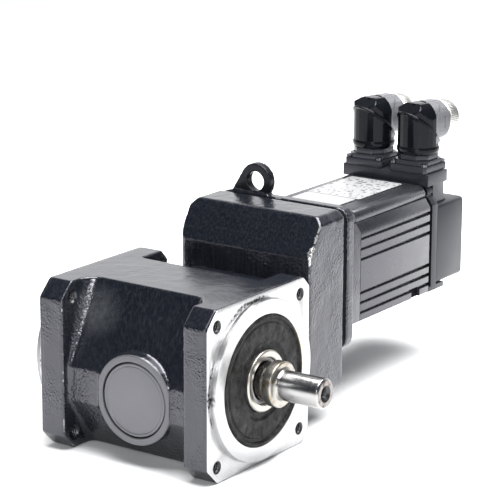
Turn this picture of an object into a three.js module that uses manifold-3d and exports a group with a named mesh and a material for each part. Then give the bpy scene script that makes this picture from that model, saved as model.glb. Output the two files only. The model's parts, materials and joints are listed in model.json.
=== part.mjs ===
// Right-angle servo gearmotor: a square-flanged bevel gear case with a smooth output shaft,
// an offset spur reduction stage behind it, and a square servo motor with two angled connectors.
//
// Units are millimetres. +X is the output shaft, +Y runs from the gear case to the motor and
// +Z is up. The origin lies on the underside of the gear case, midway between its two flange
// faces and straight below the output axis.

import * as THREE from 'three';
import { mergeVertices } from 'three/addons/utils/BufferGeometryUtils.js';
import Module from 'manifold-3d';

const wasm = await Module();
wasm.setup();

// ---------------------------------------------------------------- driving dimensions

const GAP = 0.3;                      // clearance kept between neighbouring pieces
const BITE = 1;                       // how far joined volumes run into each other

const FLANGE_SIDE = 115;              // square flange of the gear case
const CASE_HALF_WIDTH = 68;           // output flange face to the case centre
const FLANGE_THICKNESS = 19;
const WEB_HALF_DEPTH = 28;            // half depth of the case at its top and bottom faces
const BARREL_HALF_DEPTH = 51.8;       // half depth of the case at its waist
const WAIST_TOP = 58;                 // upper and lower edges of the vertical waist band
const WAIST_BOTTOM = 35.5;
const NEAR_CHAMFER = 10.8;            // flange corners on the front side
const FAR_CHAMFER = 7;                // flange corners on the motor side
const BOLT_OFFSET = 46.7;             // flange holes, from the output axis along Y and Z
const BOLT_RADIUS = 4.15;
const SPIGOT_RADIUS = 54;             // raised centring ring on each flange
const SPIGOT_HEIGHT = 4;

const AXIS_HEIGHT = FLANGE_SIDE / 2;  // output axis and bevel pinion axis above the base
const MOTOR_X = 6;                    // bevel pinion and motor axes lie this far to +X
const CHAMBER_RADIUS = 40;            // gear chamber bored along the output axis

const CAP_HEIGHT = 45.4;              // centre of the round access cap above the base
const CAP_RADIUS = 26;
const CAP_THICKNESS = 4;
const BOSS_RADIUS = 30.6;
const BOSS_FLAT = 28.6;               // the boss is flattened left and right at this distance
const BOSS_FACE = -53;

const SHAFT_RADIUS = 10;              // Ø20 smooth output shaft
const SHAFT_END = 119.4;
const SHAFT_COLLAR_RADIUS = 15.3;
const SHAFT_COLLAR = [79.4, 86.8];
const SHAFT_JOURNAL_RADIUS = 12.5;
const SLEEVE_RADIUS = 20;
const SEAL_LAND_RADIUS = 20.7;
const SEAL_RADIUS = 43.7;

const STAGE_HALF_WIDTH = 54.5;        // stage housing and adapter plate
const STAGE_FRONT = 69;
const STAGE_BACK = 112;
const STAGE_BOTTOM = 19.5;
const STAGE_TOP = 147;
const STAGE_SLOPE_FOOT = 121.5;       // the sloped front starts here and ends on the top
const STAGE_SLOPE_DEPTH = 16;
const STAGE_CORNER = 5.5;             // radius of its upright edge at the front left
const GASKET_END = 116;
const PLATE_END = 124.3;
const PLATE_BOTTOM = 46;
const PLATE_TOP = 146.6;

const LUG_X = -17.6;                  // lifting lug on the adapter plate
const LUG_HEIGHT = 155.6;
const LUG_RADIUS = 12.8;
const LUG_HOLE = 6.9;
const LUG_ROOT = PLATE_TOP - 5;       // the lug starts inside the plate
const LUG_GUSSET = 23.2;              // reach of the lug's foot to the left and to the right
const LUG_HEEL = 9;
const LUG_INSET = 0.7;                // the lug is this much thinner than the plate on each side

const MOTOR_HALF = 40;                // 80 mm square motor
const BELL_END = 155.7;
const STATOR_END = 250.2;
const REAR_BELL_END = 261;
const REAR_BAR_START = 253.6;         // upright bar of the rear bell, behind a shallow recess
const REAR_LIP = [272, 58.7];         // end and height of the lip under the rear cover
const REAR_COVER_HEIGHTS = [59, 119];
const MOTOR_END = 298;

const SPUR_MODULE = 1.25;             // spur stage, 45 : 15
const WHEEL_TEETH = 45;
const MOTOR_PINION_TEETH = 15;
const STAGE_CENTRES = SPUR_MODULE * (WHEEL_TEETH + MOTOR_PINION_TEETH) / 2;
const MOTOR_HEIGHT = AXIS_HEIGHT + STAGE_CENTRES;

const BEVEL_MODULE = 2;               // bevel pair, 36 : 12
const CROWN_TEETH = 36;
const BEVEL_PINION_TEETH = 12;
const BEVEL_FACE_WIDTH = 11;
const PRESSURE_ANGLE = THREE.MathUtils.degToRad(25);
const BACKLASH = 0.35;                // taken off each tooth's thickness

const CONNECTOR_Y = 265.3;            // the two angled connectors
const CONNECTOR_X = [-13, 25.5];
const CONNECTOR_TURN = THREE.MathUtils.degToRad(-15);
const CONNECTOR_BASE_TOP = 143;
const DECK_BOTTOM = 134;              // underside of the deck that both stand on
const HEAD_BOTTOM = 156.3;
const HEAD_TOP = 193;
const HEAD_RADIUS = 15.3;
const OUTLET_HEIGHT = 178.7;
const OUTLET_RADIUS = 14.5;
const OUTLET_END = 19;
const RING_RADIUS = 13.8;
const RING_END = 29.5;

const FINE = 32;                      // facets round a visible diameter
const MEDIUM = 24;                    // facets round a connector
const COARSE = 20;                    // facets round an inner or small one
const SMALL = 8;

// ---------------------------------------------------------------- solids

// A closed three.js geometry as a manifold solid, turned outwards if it was inside out.
function solid(geometry) {
  const bare = new THREE.BufferGeometry();
  bare.setAttribute('position', geometry.getAttribute('position'));
  bare.setIndex(geometry.getIndex());
  const merged = mergeVertices(bare, 1e-4);
  const triVerts = Uint32Array.from(merged.getIndex().array);
  const vertProperties = Float32Array.from(merged.getAttribute('position').array);
  if (signedVolume(vertProperties, triVerts) < 0) {
    for (let i = 0; i < triVerts.length; i += 3) {
      const first = triVerts[i];
      triVerts[i] = triVerts[i + 1];
      triVerts[i + 1] = first;
    }
  }
  return new wasm.Manifold(new wasm.Mesh({ numProp: 3, vertProperties, triVerts }));
}

function signedVolume(positions, triangles) {
  const corner = (k) => new THREE.Vector3().fromArray(positions, 3 * triangles[k]);
  let total = 0;
  for (let i = 0; i < triangles.length; i += 3) {
    total += corner(i).dot(corner(i + 1).cross(corner(i + 2))) / 6;
  }
  return total;
}

// The manifold's triangles as a three.js geometry.
function geometryOf(manifold) {
  const mesh = manifold.getMesh();
  const positions = [];
  for (let v = 0; v < mesh.vertProperties.length; v += mesh.numProp) {
    positions.push(mesh.vertProperties[v], mesh.vertProperties[v + 1], mesh.vertProperties[v + 2]);
  }
  const geometry = new THREE.BufferGeometry();
  geometry.setAttribute('position', new THREE.Float32BufferAttribute(positions, 3));
  geometry.setIndex(Array.from(mesh.triVerts));
  geometry.computeVertexNormals();
  return geometry;
}

const join = (...parts) => parts.reduce((whole, part) => whole.add(part));
const cut = (whole, ...tools) => tools.reduce((rest, tool) => rest.subtract(tool), whole);

function box(x, y, z) {
  const geometry = new THREE.BoxGeometry(x[1] - x[0], y[1] - y[0], z[1] - z[0]);
  geometry.translate((x[0] + x[1]) / 2, (y[0] + y[1]) / 2, (z[0] + z[1]) / 2);
  return solid(geometry);
}

// Each axis has the rotation that carries a shape's plane and extrusion direction into place.
// Outlines are given as [Y, Z] for a prism along X, as [Z, X] for one along Y and as [X, Y]
// for one along Z.
const EXTRUDE_BASIS = {
  X: new THREE.Matrix4().set(0, 0, 1, 0, 1, 0, 0, 0, 0, 1, 0, 0, 0, 0, 0, 1),
  Y: new THREE.Matrix4().set(0, 1, 0, 0, 0, 0, 1, 0, 1, 0, 0, 0, 0, 0, 0, 1),
  Z: new THREE.Matrix4(),
};

function prism(axis, outline, from, to) {
  const shape = new THREE.Shape(outline.map(([a, b]) => new THREE.Vector2(a, b)));
  const geometry = new THREE.ExtrudeGeometry(shape, { depth: to - from, bevelEnabled: false });
  geometry.translate(0, 0, from);
  geometry.applyMatrix4(EXTRUDE_BASIS[axis]);
  return solid(geometry);
}

// A prism along Y from an outline given as [X, Z].
const prismY = (outline, from, to) => prism('Y', outline.map(([x, z]) => [z, x]), from, to);

// Turned solid: the profile lists [radius, station along the axis].
function turned(axis, profile, centre, segments = FINE) {
  const points = profile.map(([radius, station]) => new THREE.Vector2(radius, station));
  const geometry = new THREE.LatheGeometry(points, segments);
  if (axis === 'X') geometry.rotateZ(-Math.PI / 2);
  if (axis === 'Z') geometry.rotateX(Math.PI / 2);
  geometry.translate(...centre);
  return solid(geometry);
}

function rod(axis, radius, from, to, centre, segments = FINE) {
  return turned(axis, [[0, from], [radius, from], [radius, to], [0, to]], centre, segments);
}

function ring(axis, inner, outer, from, to, centre, segments = FINE) {
  const profile = [[inner, from], [outer, from], [outer, to], [inner, to], [inner, from]];
  return turned(axis, profile, centre, segments);
}

// Points of a circular arc, both ends included; angles in degrees.
function arc(centreA, centreB, radius, start, end, steps) {
  return Array.from({ length: steps + 1 }, (_, i) => {
    const angle = THREE.MathUtils.degToRad(start + (end - start) * i / steps);
    return [centreA + radius * Math.cos(angle), centreB + radius * Math.sin(angle)];
  });
}

// Rectangle with rounded corners, counter-clockwise.
function roundedRectangle(a, b, radius, steps = 3) {
  return [
    ...arc(a[1] - radius, b[0] + radius, radius, -90, 0, steps),
    ...arc(a[1] - radius, b[1] - radius, radius, 0, 90, steps),
    ...arc(a[0] + radius, b[1] - radius, radius, 90, 180, steps),
    ...arc(a[0] + radius, b[0] + radius, radius, 180, 270, steps),
  ];
}

// ---------------------------------------------------------------- materials

const finish = (color, roughness, metalness) =>
  new THREE.MeshStandardMaterial({ color, roughness, metalness });

const blackPaint = finish(0x1b1d22, 0.3, 0);
const motorPaint = finish(0x232529, 0.35, 0);
const bareAluminium = finish(0xd6d7d9, 0.35, 1);
const groundSteel = finish(0xc9c6c0, 0.25, 1);
const gearSteel = finish(0x8f9094, 0.4, 1);
const bearingSteel = finish(0xb9bbbf, 0.25, 1);
const darkRubber = finish(0x2a2a2b, 0.7, 0);
const labelFilm = finish(0xf2f2f0, 0.5, 0);
const copperWire = finish(0xa8642f, 0.4, 1);
const coreSteel = finish(0x55565a, 0.5, 1);
const screwSteel = finish(0x2e2f33, 0.4, 1);
const nickelPlate = finish(0xd9d8cf, 0.3, 1);
const blackPlastic = finish(0x26272b, 0.5, 0);

const root = new THREE.Group();

function place(name, manifold, material, parent = root) {
  const mesh = new THREE.Mesh(geometryOf(manifold), material);
  mesh.name = name;
  parent.add(mesh);
  return mesh;
}

// ---------------------------------------------------------------- gear case and its covers

const OUTPUT_AXIS = [0, 0, AXIS_HEIGHT];
const PINION_AXIS = [MOTOR_X, 0, AXIS_HEIGHT];
const MOTOR_AXIS = [MOTOR_X, 0, MOTOR_HEIGHT];
const BEARING_SEAT = { output: [34, 38, 53], pinion: [23.5, 42, 54, 56, 68] };
const SEAL_SEAT = 58;
const NECK_HALF = 42;                 // square neck between the case and the stage housing
const NECK_CORNER = 10;
const PAD_START = 58.5;               // joint pad at the end of the neck
const PAD_RIM = 4;                    // how far the pad stands out round the neck
const PAD_FOOT = 6;                   // how far the pad's underside lies above the neck's
const PAD_CORNER = 8;
const PINION_BORE = 24;
const CAP_LEDGE = 4;                  // width of the ledge that the access cap sits on
const EDGE = 1;                       // small chamfers

function flangeOutline() {
  const half = FLANGE_SIDE / 2;
  return [
    [-half + NEAR_CHAMFER, 0],
    [half - FAR_CHAMFER, 0],
    [half, FAR_CHAMFER],
    [half, FLANGE_SIDE - FAR_CHAMFER],
    [half - FAR_CHAMFER, FLANGE_SIDE],
    [-half + NEAR_CHAMFER, FLANGE_SIDE],
    [-half, FLANGE_SIDE - NEAR_CHAMFER],
    [-half, NEAR_CHAMFER],
  ];
}

function barrelOutline() {
  return [
    [-WEB_HALF_DEPTH, 0],
    [WEB_HALF_DEPTH, 0],
    [BARREL_HALF_DEPTH, WAIST_BOTTOM],
    [BARREL_HALF_DEPTH, WAIST_TOP],
    [WEB_HALF_DEPTH, FLANGE_SIDE],
    [-WEB_HALF_DEPTH, FLANGE_SIDE],
    [-BARREL_HALF_DEPTH, WAIST_TOP],
    [-BARREL_HALF_DEPTH, WAIST_BOTTOM],
  ];
}

function accessBoss() {
  const centre = [MOTOR_X, 0, CAP_HEIGHT];
  const flats = [MOTOR_X - BOSS_FLAT, MOTOR_X + BOSS_FLAT];
  const heights = [CAP_HEIGHT - BOSS_RADIUS - BITE, CAP_HEIGHT + BOSS_RADIUS + BITE];
  const slab = box(flats, [BOSS_FACE, -WEB_HALF_DEPTH + BITE], heights);
  return rod('Y', BOSS_RADIUS, BOSS_FACE, -WEB_HALF_DEPTH + BITE, centre).intersect(slab);
}

function flangeHoles() {
  const holes = [];
  for (const y of [-BOLT_OFFSET, BOLT_OFFSET]) {
    for (const z of [-BOLT_OFFSET, BOLT_OFFSET]) {
      const reach = CASE_HALF_WIDTH + BITE;
      holes.push(rod('X', BOLT_RADIUS, -reach, reach, [0, y, AXIS_HEIGHT + z], SMALL));
    }
  }
  return holes;
}

function gearCase() {
  const inner = CASE_HALF_WIDTH - FLANGE_THICKNESS;
  const plate = (from, to) => prism('X', flangeOutline(), from, to);
  const spigotEnd = CASE_HALF_WIDTH + SPIGOT_HEIGHT;
  const neck = roundedRectangle([MOTOR_X - NECK_HALF, MOTOR_X + NECK_HALF],
    [AXIS_HEIGHT - NECK_HALF, AXIS_HEIGHT + NECK_HALF], NECK_CORNER);
  const padHalf = NECK_HALF + PAD_RIM;
  const pad = roundedRectangle([MOTOR_X - padHalf, MOTOR_X + padHalf],
    [AXIS_HEIGHT - NECK_HALF + PAD_FOOT, AXIS_HEIGHT + padHalf], PAD_CORNER);
  const outside = join(
    prism('X', barrelOutline(), -inner - BITE, inner + BITE),
    plate(-CASE_HALF_WIDTH, -inner),
    plate(inner, CASE_HALF_WIDTH),
    rod('X', SPIGOT_RADIUS, CASE_HALF_WIDTH - BITE, spigotEnd, OUTPUT_AXIS),
    rod('X', SPIGOT_RADIUS, -spigotEnd, -CASE_HALF_WIDTH + BITE, OUTPUT_AXIS),
    accessBoss(),
    prismY(neck, WEB_HALF_DEPTH - BITE, STAGE_FRONT - GAP),
    prismY(pad, PAD_START, STAGE_FRONT - GAP),
  );
  const [bearingRadius, bearingFrom, bearingTo] = BEARING_SEAT.output;
  const seat = bearingRadius + GAP;
  const shoulder = bearingRadius - 4;
  const chamberHalf = bearingFrom - 2;
  const sealSeat = SEAL_RADIUS + GAP;
  const chamber = turned('X', [
    [0, -spigotEnd - BITE],
    [sealSeat, -spigotEnd - BITE],
    [sealSeat, -SEAL_SEAT],
    [seat, -SEAL_SEAT],
    [seat, -chamberHalf],
    [CHAMBER_RADIUS, -chamberHalf],
    [CHAMBER_RADIUS, chamberHalf],
    [seat, chamberHalf],
    [seat, bearingTo + GAP],
    [shoulder, bearingTo + GAP],
    [shoulder, SEAL_SEAT],
    [sealSeat, SEAL_SEAT],
    [sealSeat, spigotEnd + BITE],
    [0, spigotEnd + BITE],
  ], OUTPUT_AXIS);
  const capBore = CAP_RADIUS + 1;
  const ledge = CAP_RADIUS - CAP_LEDGE;
  const ledgeFace = BOSS_FACE + CAP_THICKNESS + 1;
  const capSeat = turned('Y', [
    [0, BOSS_FACE - BITE],
    [capBore, BOSS_FACE - BITE],
    [capBore, ledgeFace],
    [ledge, ledgeFace],
    [ledge, -WEB_HALF_DEPTH],
    [0, -WEB_HALF_DEPTH],
  ], [MOTOR_X, 0, CAP_HEIGHT]);
  const pinionBore = rod('Y', PINION_BORE, WEB_HALF_DEPTH, STAGE_FRONT + BITE, PINION_AXIS, COARSE);
  return cut(outside, chamber, capSeat, pinionBore, ...flangeHoles());
}

// Pressed-in access cap: a shallow dished disc with a soft rim.
function accessCap() {
  const rim = CAP_RADIUS - 1.2;
  const face = BOSS_FACE + 0.4;
  return turned('Y', [
    [0, face],
    [rim - EDGE, face],
    [rim, face + EDGE],
    [rim, BOSS_FACE + CAP_THICKNESS],
    [0, BOSS_FACE + CAP_THICKNESS],
  ], [MOTOR_X, 0, CAP_HEIGHT]);
}

function accessCapRing() {
  const from = BOSS_FACE + 1.4;
  const to = BOSS_FACE + CAP_THICKNESS;
  return ring('Y', CAP_RADIUS - 0.9, CAP_RADIUS + 0.7, from, to, [MOTOR_X, 0, CAP_HEIGHT]);
}

// The cover closes the left bore, steps down twice outside and holds the left bearing.
function endCover() {
  const face = -CASE_HALF_WIDTH - SPIGOT_HEIGHT;
  const disc = { radius: 40, end: face - 16, edge: 2 };
  const rim = { radius: 49.5, end: face - 8, edge: 1.5 };
  return turned('X', [
    [0, disc.end],
    [disc.radius - disc.edge, disc.end],
    [disc.radius, disc.end + disc.edge],
    [disc.radius, rim.end],
    [rim.radius - rim.edge, rim.end],
    [rim.radius, rim.end + rim.edge],
    [rim.radius, face - GAP],
    [SEAL_RADIUS, face - GAP],
    [SEAL_RADIUS, -SEAL_SEAT - GAP],
    [0, -SEAL_SEAT - GAP],
  ], OUTPUT_AXIS);
}

// Rubber-faced oil seal round the output sleeve, with a turned-up rim and a lip step.
function outputOilSeal() {
  const face = CASE_HALF_WIDTH + SPIGOT_HEIGHT + GAP;
  const rimRise = 0.6;
  const lip = SEAL_LAND_RADIUS + GAP;
  const lipSlope = 3;
  const rimFoot = SEAL_RADIUS - 3.6;
  return turned('X', [
    [lip, SEAL_SEAT + GAP],
    [SEAL_RADIUS, SEAL_SEAT + GAP],
    [SEAL_RADIUS, face + rimRise / 3],
    [rimFoot + rimRise, face + rimRise],
    [rimFoot, face],
    [lip + lipSlope, face],
    [lip, face - lipSlope * 0.3],
    [lip, SEAL_SEAT + GAP],
  ], OUTPUT_AXIS);
}

// ---------------------------------------------------------------- bearings

// Outer and inner ring of a ball bearing.
function bearing(name, axis, centre, from, to, bore, outside) {
  const depth = (outside - bore) / 4;
  const outerRing = ring(axis, outside - depth, outside, from, to, centre, COARSE);
  const innerRing = ring(axis, bore, bore + depth, from, to, centre, COARSE);
  place(`${name}_bearing_outer_ring`, outerRing, bearingSteel);
  place(`${name}_bearing_inner_ring`, innerRing, bearingSteel);
}

// ---------------------------------------------------------------- gears

const involute = (angle) => Math.tan(angle) - angle;

// Half the angle that a tooth spans at a radius, on a gear with this pitch radius.
function halfToothAngle(module, pitchRadius, radius) {
  const base = pitchRadius * Math.cos(PRESSURE_ANGLE);
  const here = Math.acos(base / Math.max(radius, base));
  const thickness = Math.PI * module / 2 - BACKLASH;
  return thickness / (2 * pitchRadius) + involute(PRESSURE_ANGLE) - involute(here);
}

// Heights of the flank points over the pitch line, root first, in modules. A large gear's
// flanks are nearly straight, so it needs fewer.
const PINION_FLANK = [-1.2, -0.3, 0.95];
const WHEEL_FLANK = [-1.2, 0.95];
const flankHeights = (teeth) => (teeth > 20 ? WHEEL_FLANK : PINION_FLANK);

// Outline of a spur gear as [radius, angle] pairs, with tooth 0 centred on the start angle.
function spurOutline(module, teeth, start) {
  const pitchRadius = module * teeth / 2;
  const outline = [];
  for (let tooth = 0; tooth < teeth; tooth += 1) {
    const centre = start + 2 * Math.PI * tooth / teeth;
    const flank = flankHeights(teeth).map((height) => {
      const radius = pitchRadius + height * module;
      return [radius, halfToothAngle(module, pitchRadius, radius)];
    });
    for (const [radius, half] of flank) outline.push([radius, centre - half]);
    for (const [radius, half] of flank.reverse()) outline.push([radius, centre + half]);
  }
  return outline;
}

function spurGear(module, teeth, start, axisX, axisZ, from, to) {
  const points = spurOutline(module, teeth, start).map(([radius, angle]) =>
    [axisX + radius * Math.cos(angle), axisZ + radius * Math.sin(angle)]);
  return prismY(points, from, to);
}

// Straight bevel gear about its apex at the origin. toPoint turns (distance along the axis,
// radius, angle) into a point. Both ends are closed towards a point on the axis.
function bevelGear(teeth, mateTeeth, start, toPoint) {
  const coneAngle = Math.atan(teeth / mateTeeth);
  const pitchRadius = BEVEL_MODULE * teeth / 2;
  const coneDistance = pitchRadius / Math.sin(coneAngle);
  const virtualRadius = pitchRadius / Math.cos(coneAngle);
  const innerScale = 1 - BEVEL_FACE_WIDTH / coneDistance;
  const outer = [];
  for (let tooth = 0; tooth < teeth; tooth += 1) {
    const centre = start + 2 * Math.PI * tooth / teeth;
    const flank = flankHeights(teeth).map((height) => {
      const rise = height * BEVEL_MODULE;
      const virtual = virtualRadius + rise;
      const halfWidth = virtual * halfToothAngle(BEVEL_MODULE, virtualRadius, virtual);
      const radius = pitchRadius + rise * Math.cos(coneAngle);
      const station = coneDistance * Math.cos(coneAngle) - rise * Math.sin(coneAngle);
      return [station, radius, halfWidth / radius];
    });
    for (const [station, radius, half] of flank) outer.push([station, radius, centre - half]);
    for (const [station, radius, half] of flank.reverse()) outer.push([station, radius, centre + half]);
  }
  const count = outer.length;
  const rootStation = Math.max(...outer.map(([station]) => station));
  const vertices = [
    ...outer.map((point) => toPoint(...point)),
    ...outer.map(([station, radius, angle]) => toPoint(station * innerScale, radius * innerScale, angle)),
    toPoint(rootStation + BEVEL_MODULE, 0, 0),
    toPoint(rootStation * innerScale, 0, 0),
  ];
  const triangles = [];
  for (let i = 0; i < count; i += 1) {
    const next = (i + 1) % count;
    triangles.push(i, next, count + next);
    triangles.push(i, count + next, count + i);
    triangles.push(next, i, 2 * count);
    triangles.push(count + i, count + next, 2 * count + 1);
  }
  const geometry = new THREE.BufferGeometry();
  geometry.setAttribute('position', new THREE.Float32BufferAttribute(vertices.flat(), 3));
  geometry.setIndex(triangles);
  return solid(geometry);
}

// ---------------------------------------------------------------- output shaft group

// The shaft's inner end stands in the sleeve; a centre hole is tapped in its outer end.
function outputShaft() {
  const innerEnd = -50;
  const edge = 1.2;
  const hole = { radius: 3.1, mouth: 4.6, countersink: 2.4, depth: 17, point: 19 };
  const [collarFrom, collarTo] = SHAFT_COLLAR;
  return turned('X', [
    [0, innerEnd],
    [SHAFT_JOURNAL_RADIUS, innerEnd],
    [SHAFT_JOURNAL_RADIUS, collarFrom],
    [SHAFT_COLLAR_RADIUS, collarFrom],
    [SHAFT_COLLAR_RADIUS, collarTo],
    [SHAFT_RADIUS, collarTo],
    [SHAFT_RADIUS, SHAFT_END - edge],
    [SHAFT_RADIUS - edge, SHAFT_END],
    [hole.mouth, SHAFT_END],
    [hole.radius, SHAFT_END - hole.countersink],
    [hole.radius, SHAFT_END - hole.depth],
    [0, SHAFT_END - hole.point],
  ], OUTPUT_AXIS);
}

// Hollow hub of the crown gear; the seal runs on its land and its mouth takes a seal ring.
function outputSleeve() {
  const bore = SHAFT_JOURNAL_RADIUS + GAP;
  const left = -57;
  const land = { start: 55, end: 74, edge: 0.8 };
  const mouth = { radius: 15.75, start: 66 };
  return turned('X', [
    [bore, left],
    [SLEEVE_RADIUS, left],
    [SLEEVE_RADIUS, land.start],
    [SEAL_LAND_RADIUS, land.start],
    [SEAL_LAND_RADIUS, land.end - land.edge],
    [SEAL_LAND_RADIUS - land.edge, land.end],
    [mouth.radius, land.end],
    [mouth.radius, mouth.start],
    [bore, mouth.start],
    [bore, left],
  ], OUTPUT_AXIS);
}

function crownGear() {
  const apex = ([x, y, z]) => [MOTOR_X + x, y, AXIS_HEIGHT + z];
  const toPoint = (station, radius, angle) =>
    apex([-station, radius * Math.cos(angle), radius * Math.sin(angle)]);
  const halfPitch = Math.PI / CROWN_TEETH;
  const rim = bevelGear(CROWN_TEETH, BEVEL_PINION_TEETH, halfPitch, toPoint);
  const hub = { radius: 29, from: -30, to: -8 };
  const boss = rod('X', hub.radius, hub.from, hub.to, OUTPUT_AXIS, COARSE);
  const bore = rod('X', SLEEVE_RADIUS + GAP, -CHAMBER_RADIUS, CHAMBER_RADIUS, OUTPUT_AXIS, COARSE);
  return cut(join(rim, boss), bore);
}

function outputGroup() {
  place('output_shaft', outputShaft(), groundSteel);
  place('output_sleeve', outputSleeve(), groundSteel);
  const lip = { inner: SHAFT_JOURNAL_RADIUS + 0.8, outer: 15.45, from: 66.3, to: 72.4 };
  const lipRing = ring('X', lip.inner, lip.outer, lip.from, lip.to, OUTPUT_AXIS);
  place('output_sleeve_seal_ring', lipRing, darkRubber);
  place('crown_gear', crownGear(), gearSteel);
  const [outside, from, to] = BEARING_SEAT.output;
  bearing('output_left', 'X', OUTPUT_AXIS, -to, -from, SLEEVE_RADIUS + GAP, outside);
  bearing('output_right', 'X', OUTPUT_AXIS, from, to, SLEEVE_RADIUS + GAP, outside);
}

// ---------------------------------------------------------------- bevel pinion group

const PINION_SHAFT_RADIUS = 10;
const WHEEL_SPAN = [82, 96];

function bevelPinionShaft() {
  const toPoint = (station, radius, angle) =>
    [MOTOR_X + radius * Math.cos(angle), station, AXIS_HEIGHT + radius * Math.sin(angle)];
  const teeth = bevelGear(BEVEL_PINION_TEETH, CROWN_TEETH, Math.PI, toPoint);
  const neck = { radius: 8.5, from: 32, to: 36 };
  const shoulder = { radius: 12, from: 37.6, to: 41.5 };
  const end = 100;
  const shaft = turned('Y', [
    [0, neck.from],
    [neck.radius, neck.from],
    [neck.radius, neck.to],
    [shoulder.radius, shoulder.from],
    [shoulder.radius, shoulder.to],
    [PINION_SHAFT_RADIUS, shoulder.to],
    [PINION_SHAFT_RADIUS, end - EDGE],
    [PINION_SHAFT_RADIUS - EDGE, end],
    [0, end],
  ], PINION_AXIS, COARSE);
  return join(teeth, shaft);
}

function stageWheel() {
  const halfPitch = Math.PI / WHEEL_TEETH;
  const start = Math.PI / 2 + halfPitch;
  const rim = spurGear(SPUR_MODULE, WHEEL_TEETH, start, MOTOR_X, AXIS_HEIGHT, ...WHEEL_SPAN);
  const [from, to] = WHEEL_SPAN;
  const hubRadius = 16;
  const hubLength = 5;
  const dish = { inner: 15, outer: 23, depth: 4 };
  const hub = rod('Y', hubRadius, from - hubLength, from + BITE, PINION_AXIS, COARSE);
  const boreSpan = [from - hubLength - BITE, to + BITE];
  const bore = rod('Y', PINION_SHAFT_RADIUS + GAP, ...boreSpan, PINION_AXIS, COARSE);
  const hollow = ring('Y', dish.inner, dish.outer, to - dish.depth, to + BITE, PINION_AXIS, COARSE);
  return cut(join(rim, hub), bore, hollow);
}

function pinionGroup() {
  place('bevel_pinion_shaft', bevelPinionShaft(), gearSteel);
  place('stage_wheel', stageWheel(), gearSteel);
  const [outside, frontFrom, frontTo, rearFrom, rearTo] = BEARING_SEAT.pinion;
  const bore = PINION_SHAFT_RADIUS + GAP;
  bearing('pinion_front', 'Y', PINION_AXIS, frontFrom, frontTo, bore, outside);
  bearing('pinion_rear', 'Y', PINION_AXIS, rearFrom, rearTo, bore, outside);
}

// ---------------------------------------------------------------- stage housing and adapter

const SCREW_SPREAD = 49.2;            // adapter screws, sideways from the motor axis
const SCREW_HEIGHTS = [57, 138];
const SCREW_HEAD = 4.2;
const SCREW_SHANK = 2.4;
const TAPPED_DEPTH = 14;
const SHAFT_HOLE_RADIUS = 20;
const SCREW_HEAD_DEPTH = 3;
const STAGE_WALL = 10;                // side walls
const STAGE_FRONT_WALL = 7;
const STAGE_BACK_WALL = 8;            // also the roof
const STAGE_FLOOR = 6;
const STAGE_BEVEL = 5;                // along the top's left and right edges
const STAGE_FOOT_RADIUS = 7;

function stageOutlineAcross() {
  const half = STAGE_HALF_WIDTH;
  const radius = STAGE_FOOT_RADIUS;
  return [
    ...arc(MOTOR_X - half + radius, STAGE_BOTTOM + radius, radius, 180, 270, 3),
    ...arc(MOTOR_X + half - radius, STAGE_BOTTOM + radius, radius, 270, 360, 3),
    [MOTOR_X + half, STAGE_TOP - STAGE_BEVEL],
    [MOTOR_X + half - STAGE_BEVEL, STAGE_TOP],
    [MOTOR_X - half + STAGE_BEVEL, STAGE_TOP],
    [MOTOR_X - half, STAGE_TOP - STAGE_BEVEL],
  ];
}

function stageOutlineAlong() {
  return [
    [STAGE_FRONT, STAGE_BOTTOM],
    [STAGE_BACK, STAGE_BOTTOM],
    [STAGE_BACK, STAGE_TOP],
    [STAGE_FRONT + STAGE_SLOPE_DEPTH, STAGE_TOP],
    [STAGE_FRONT, STAGE_SLOPE_FOOT],
  ];
}

// Seen from above, with the front left corner rounded.
function stageOutlinePlan() {
  const left = MOTOR_X - STAGE_HALF_WIDTH;
  const right = MOTOR_X + STAGE_HALF_WIDTH;
  return [
    ...arc(left + STAGE_CORNER, STAGE_FRONT + STAGE_CORNER, STAGE_CORNER, 180, 270, 3),
    [right, STAGE_FRONT],
    [right, STAGE_BACK],
    [left, STAGE_BACK],
  ];
}

function adapterScrewPlaces() {
  const places = [];
  for (const height of SCREW_HEIGHTS) {
    for (const side of [-1, 1]) places.push([MOTOR_X + side * SCREW_SPREAD, 0, height]);
  }
  return places;
}

function stageHousing() {
  const half = STAGE_HALF_WIDTH;
  const reach = [MOTOR_X - half - BITE, MOTOR_X + half + BITE];
  const along = prism('X', stageOutlineAlong(), ...reach);
  const across = prismY(stageOutlineAcross(), STAGE_FRONT - BITE, STAGE_BACK + BITE);
  const plan = prism('Z', stageOutlinePlan(), STAGE_BOTTOM - BITE, STAGE_TOP + BITE);
  const outside = along.intersect(across).intersect(plan);
  const room = [MOTOR_X - half + STAGE_WALL, MOTOR_X + half - STAGE_WALL];
  const front = STAGE_FRONT + STAGE_FRONT_WALL;
  const roof = STAGE_TOP - STAGE_BACK_WALL;
  const opening = PLATE_BOTTOM + STAGE_BACK_WALL;
  const slopeWall = 4;
  const hollow = prism('X', [
    [front, STAGE_BOTTOM + STAGE_FLOOR],
    [STAGE_BACK - STAGE_BACK_WALL, STAGE_BOTTOM + STAGE_FLOOR],
    [STAGE_BACK - STAGE_BACK_WALL, opening],
    [STAGE_BACK + BITE, opening],
    [STAGE_BACK + BITE, roof],
    [front + STAGE_SLOPE_DEPTH, roof],
    [front, STAGE_SLOPE_FOOT - slopeWall],
  ], ...room);
  const shaftHole = rod('Y', SHAFT_HOLE_RADIUS, STAGE_FRONT - BITE, front + BITE, PINION_AXIS, COARSE);
  const tapped = adapterScrewPlaces().map((centre) =>
    rod('Y', SCREW_SHANK + GAP, STAGE_BACK - TAPPED_DEPTH, STAGE_BACK + BITE, centre, SMALL));
  return cut(outside, hollow, shaftHole, ...tapped);
}

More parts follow.
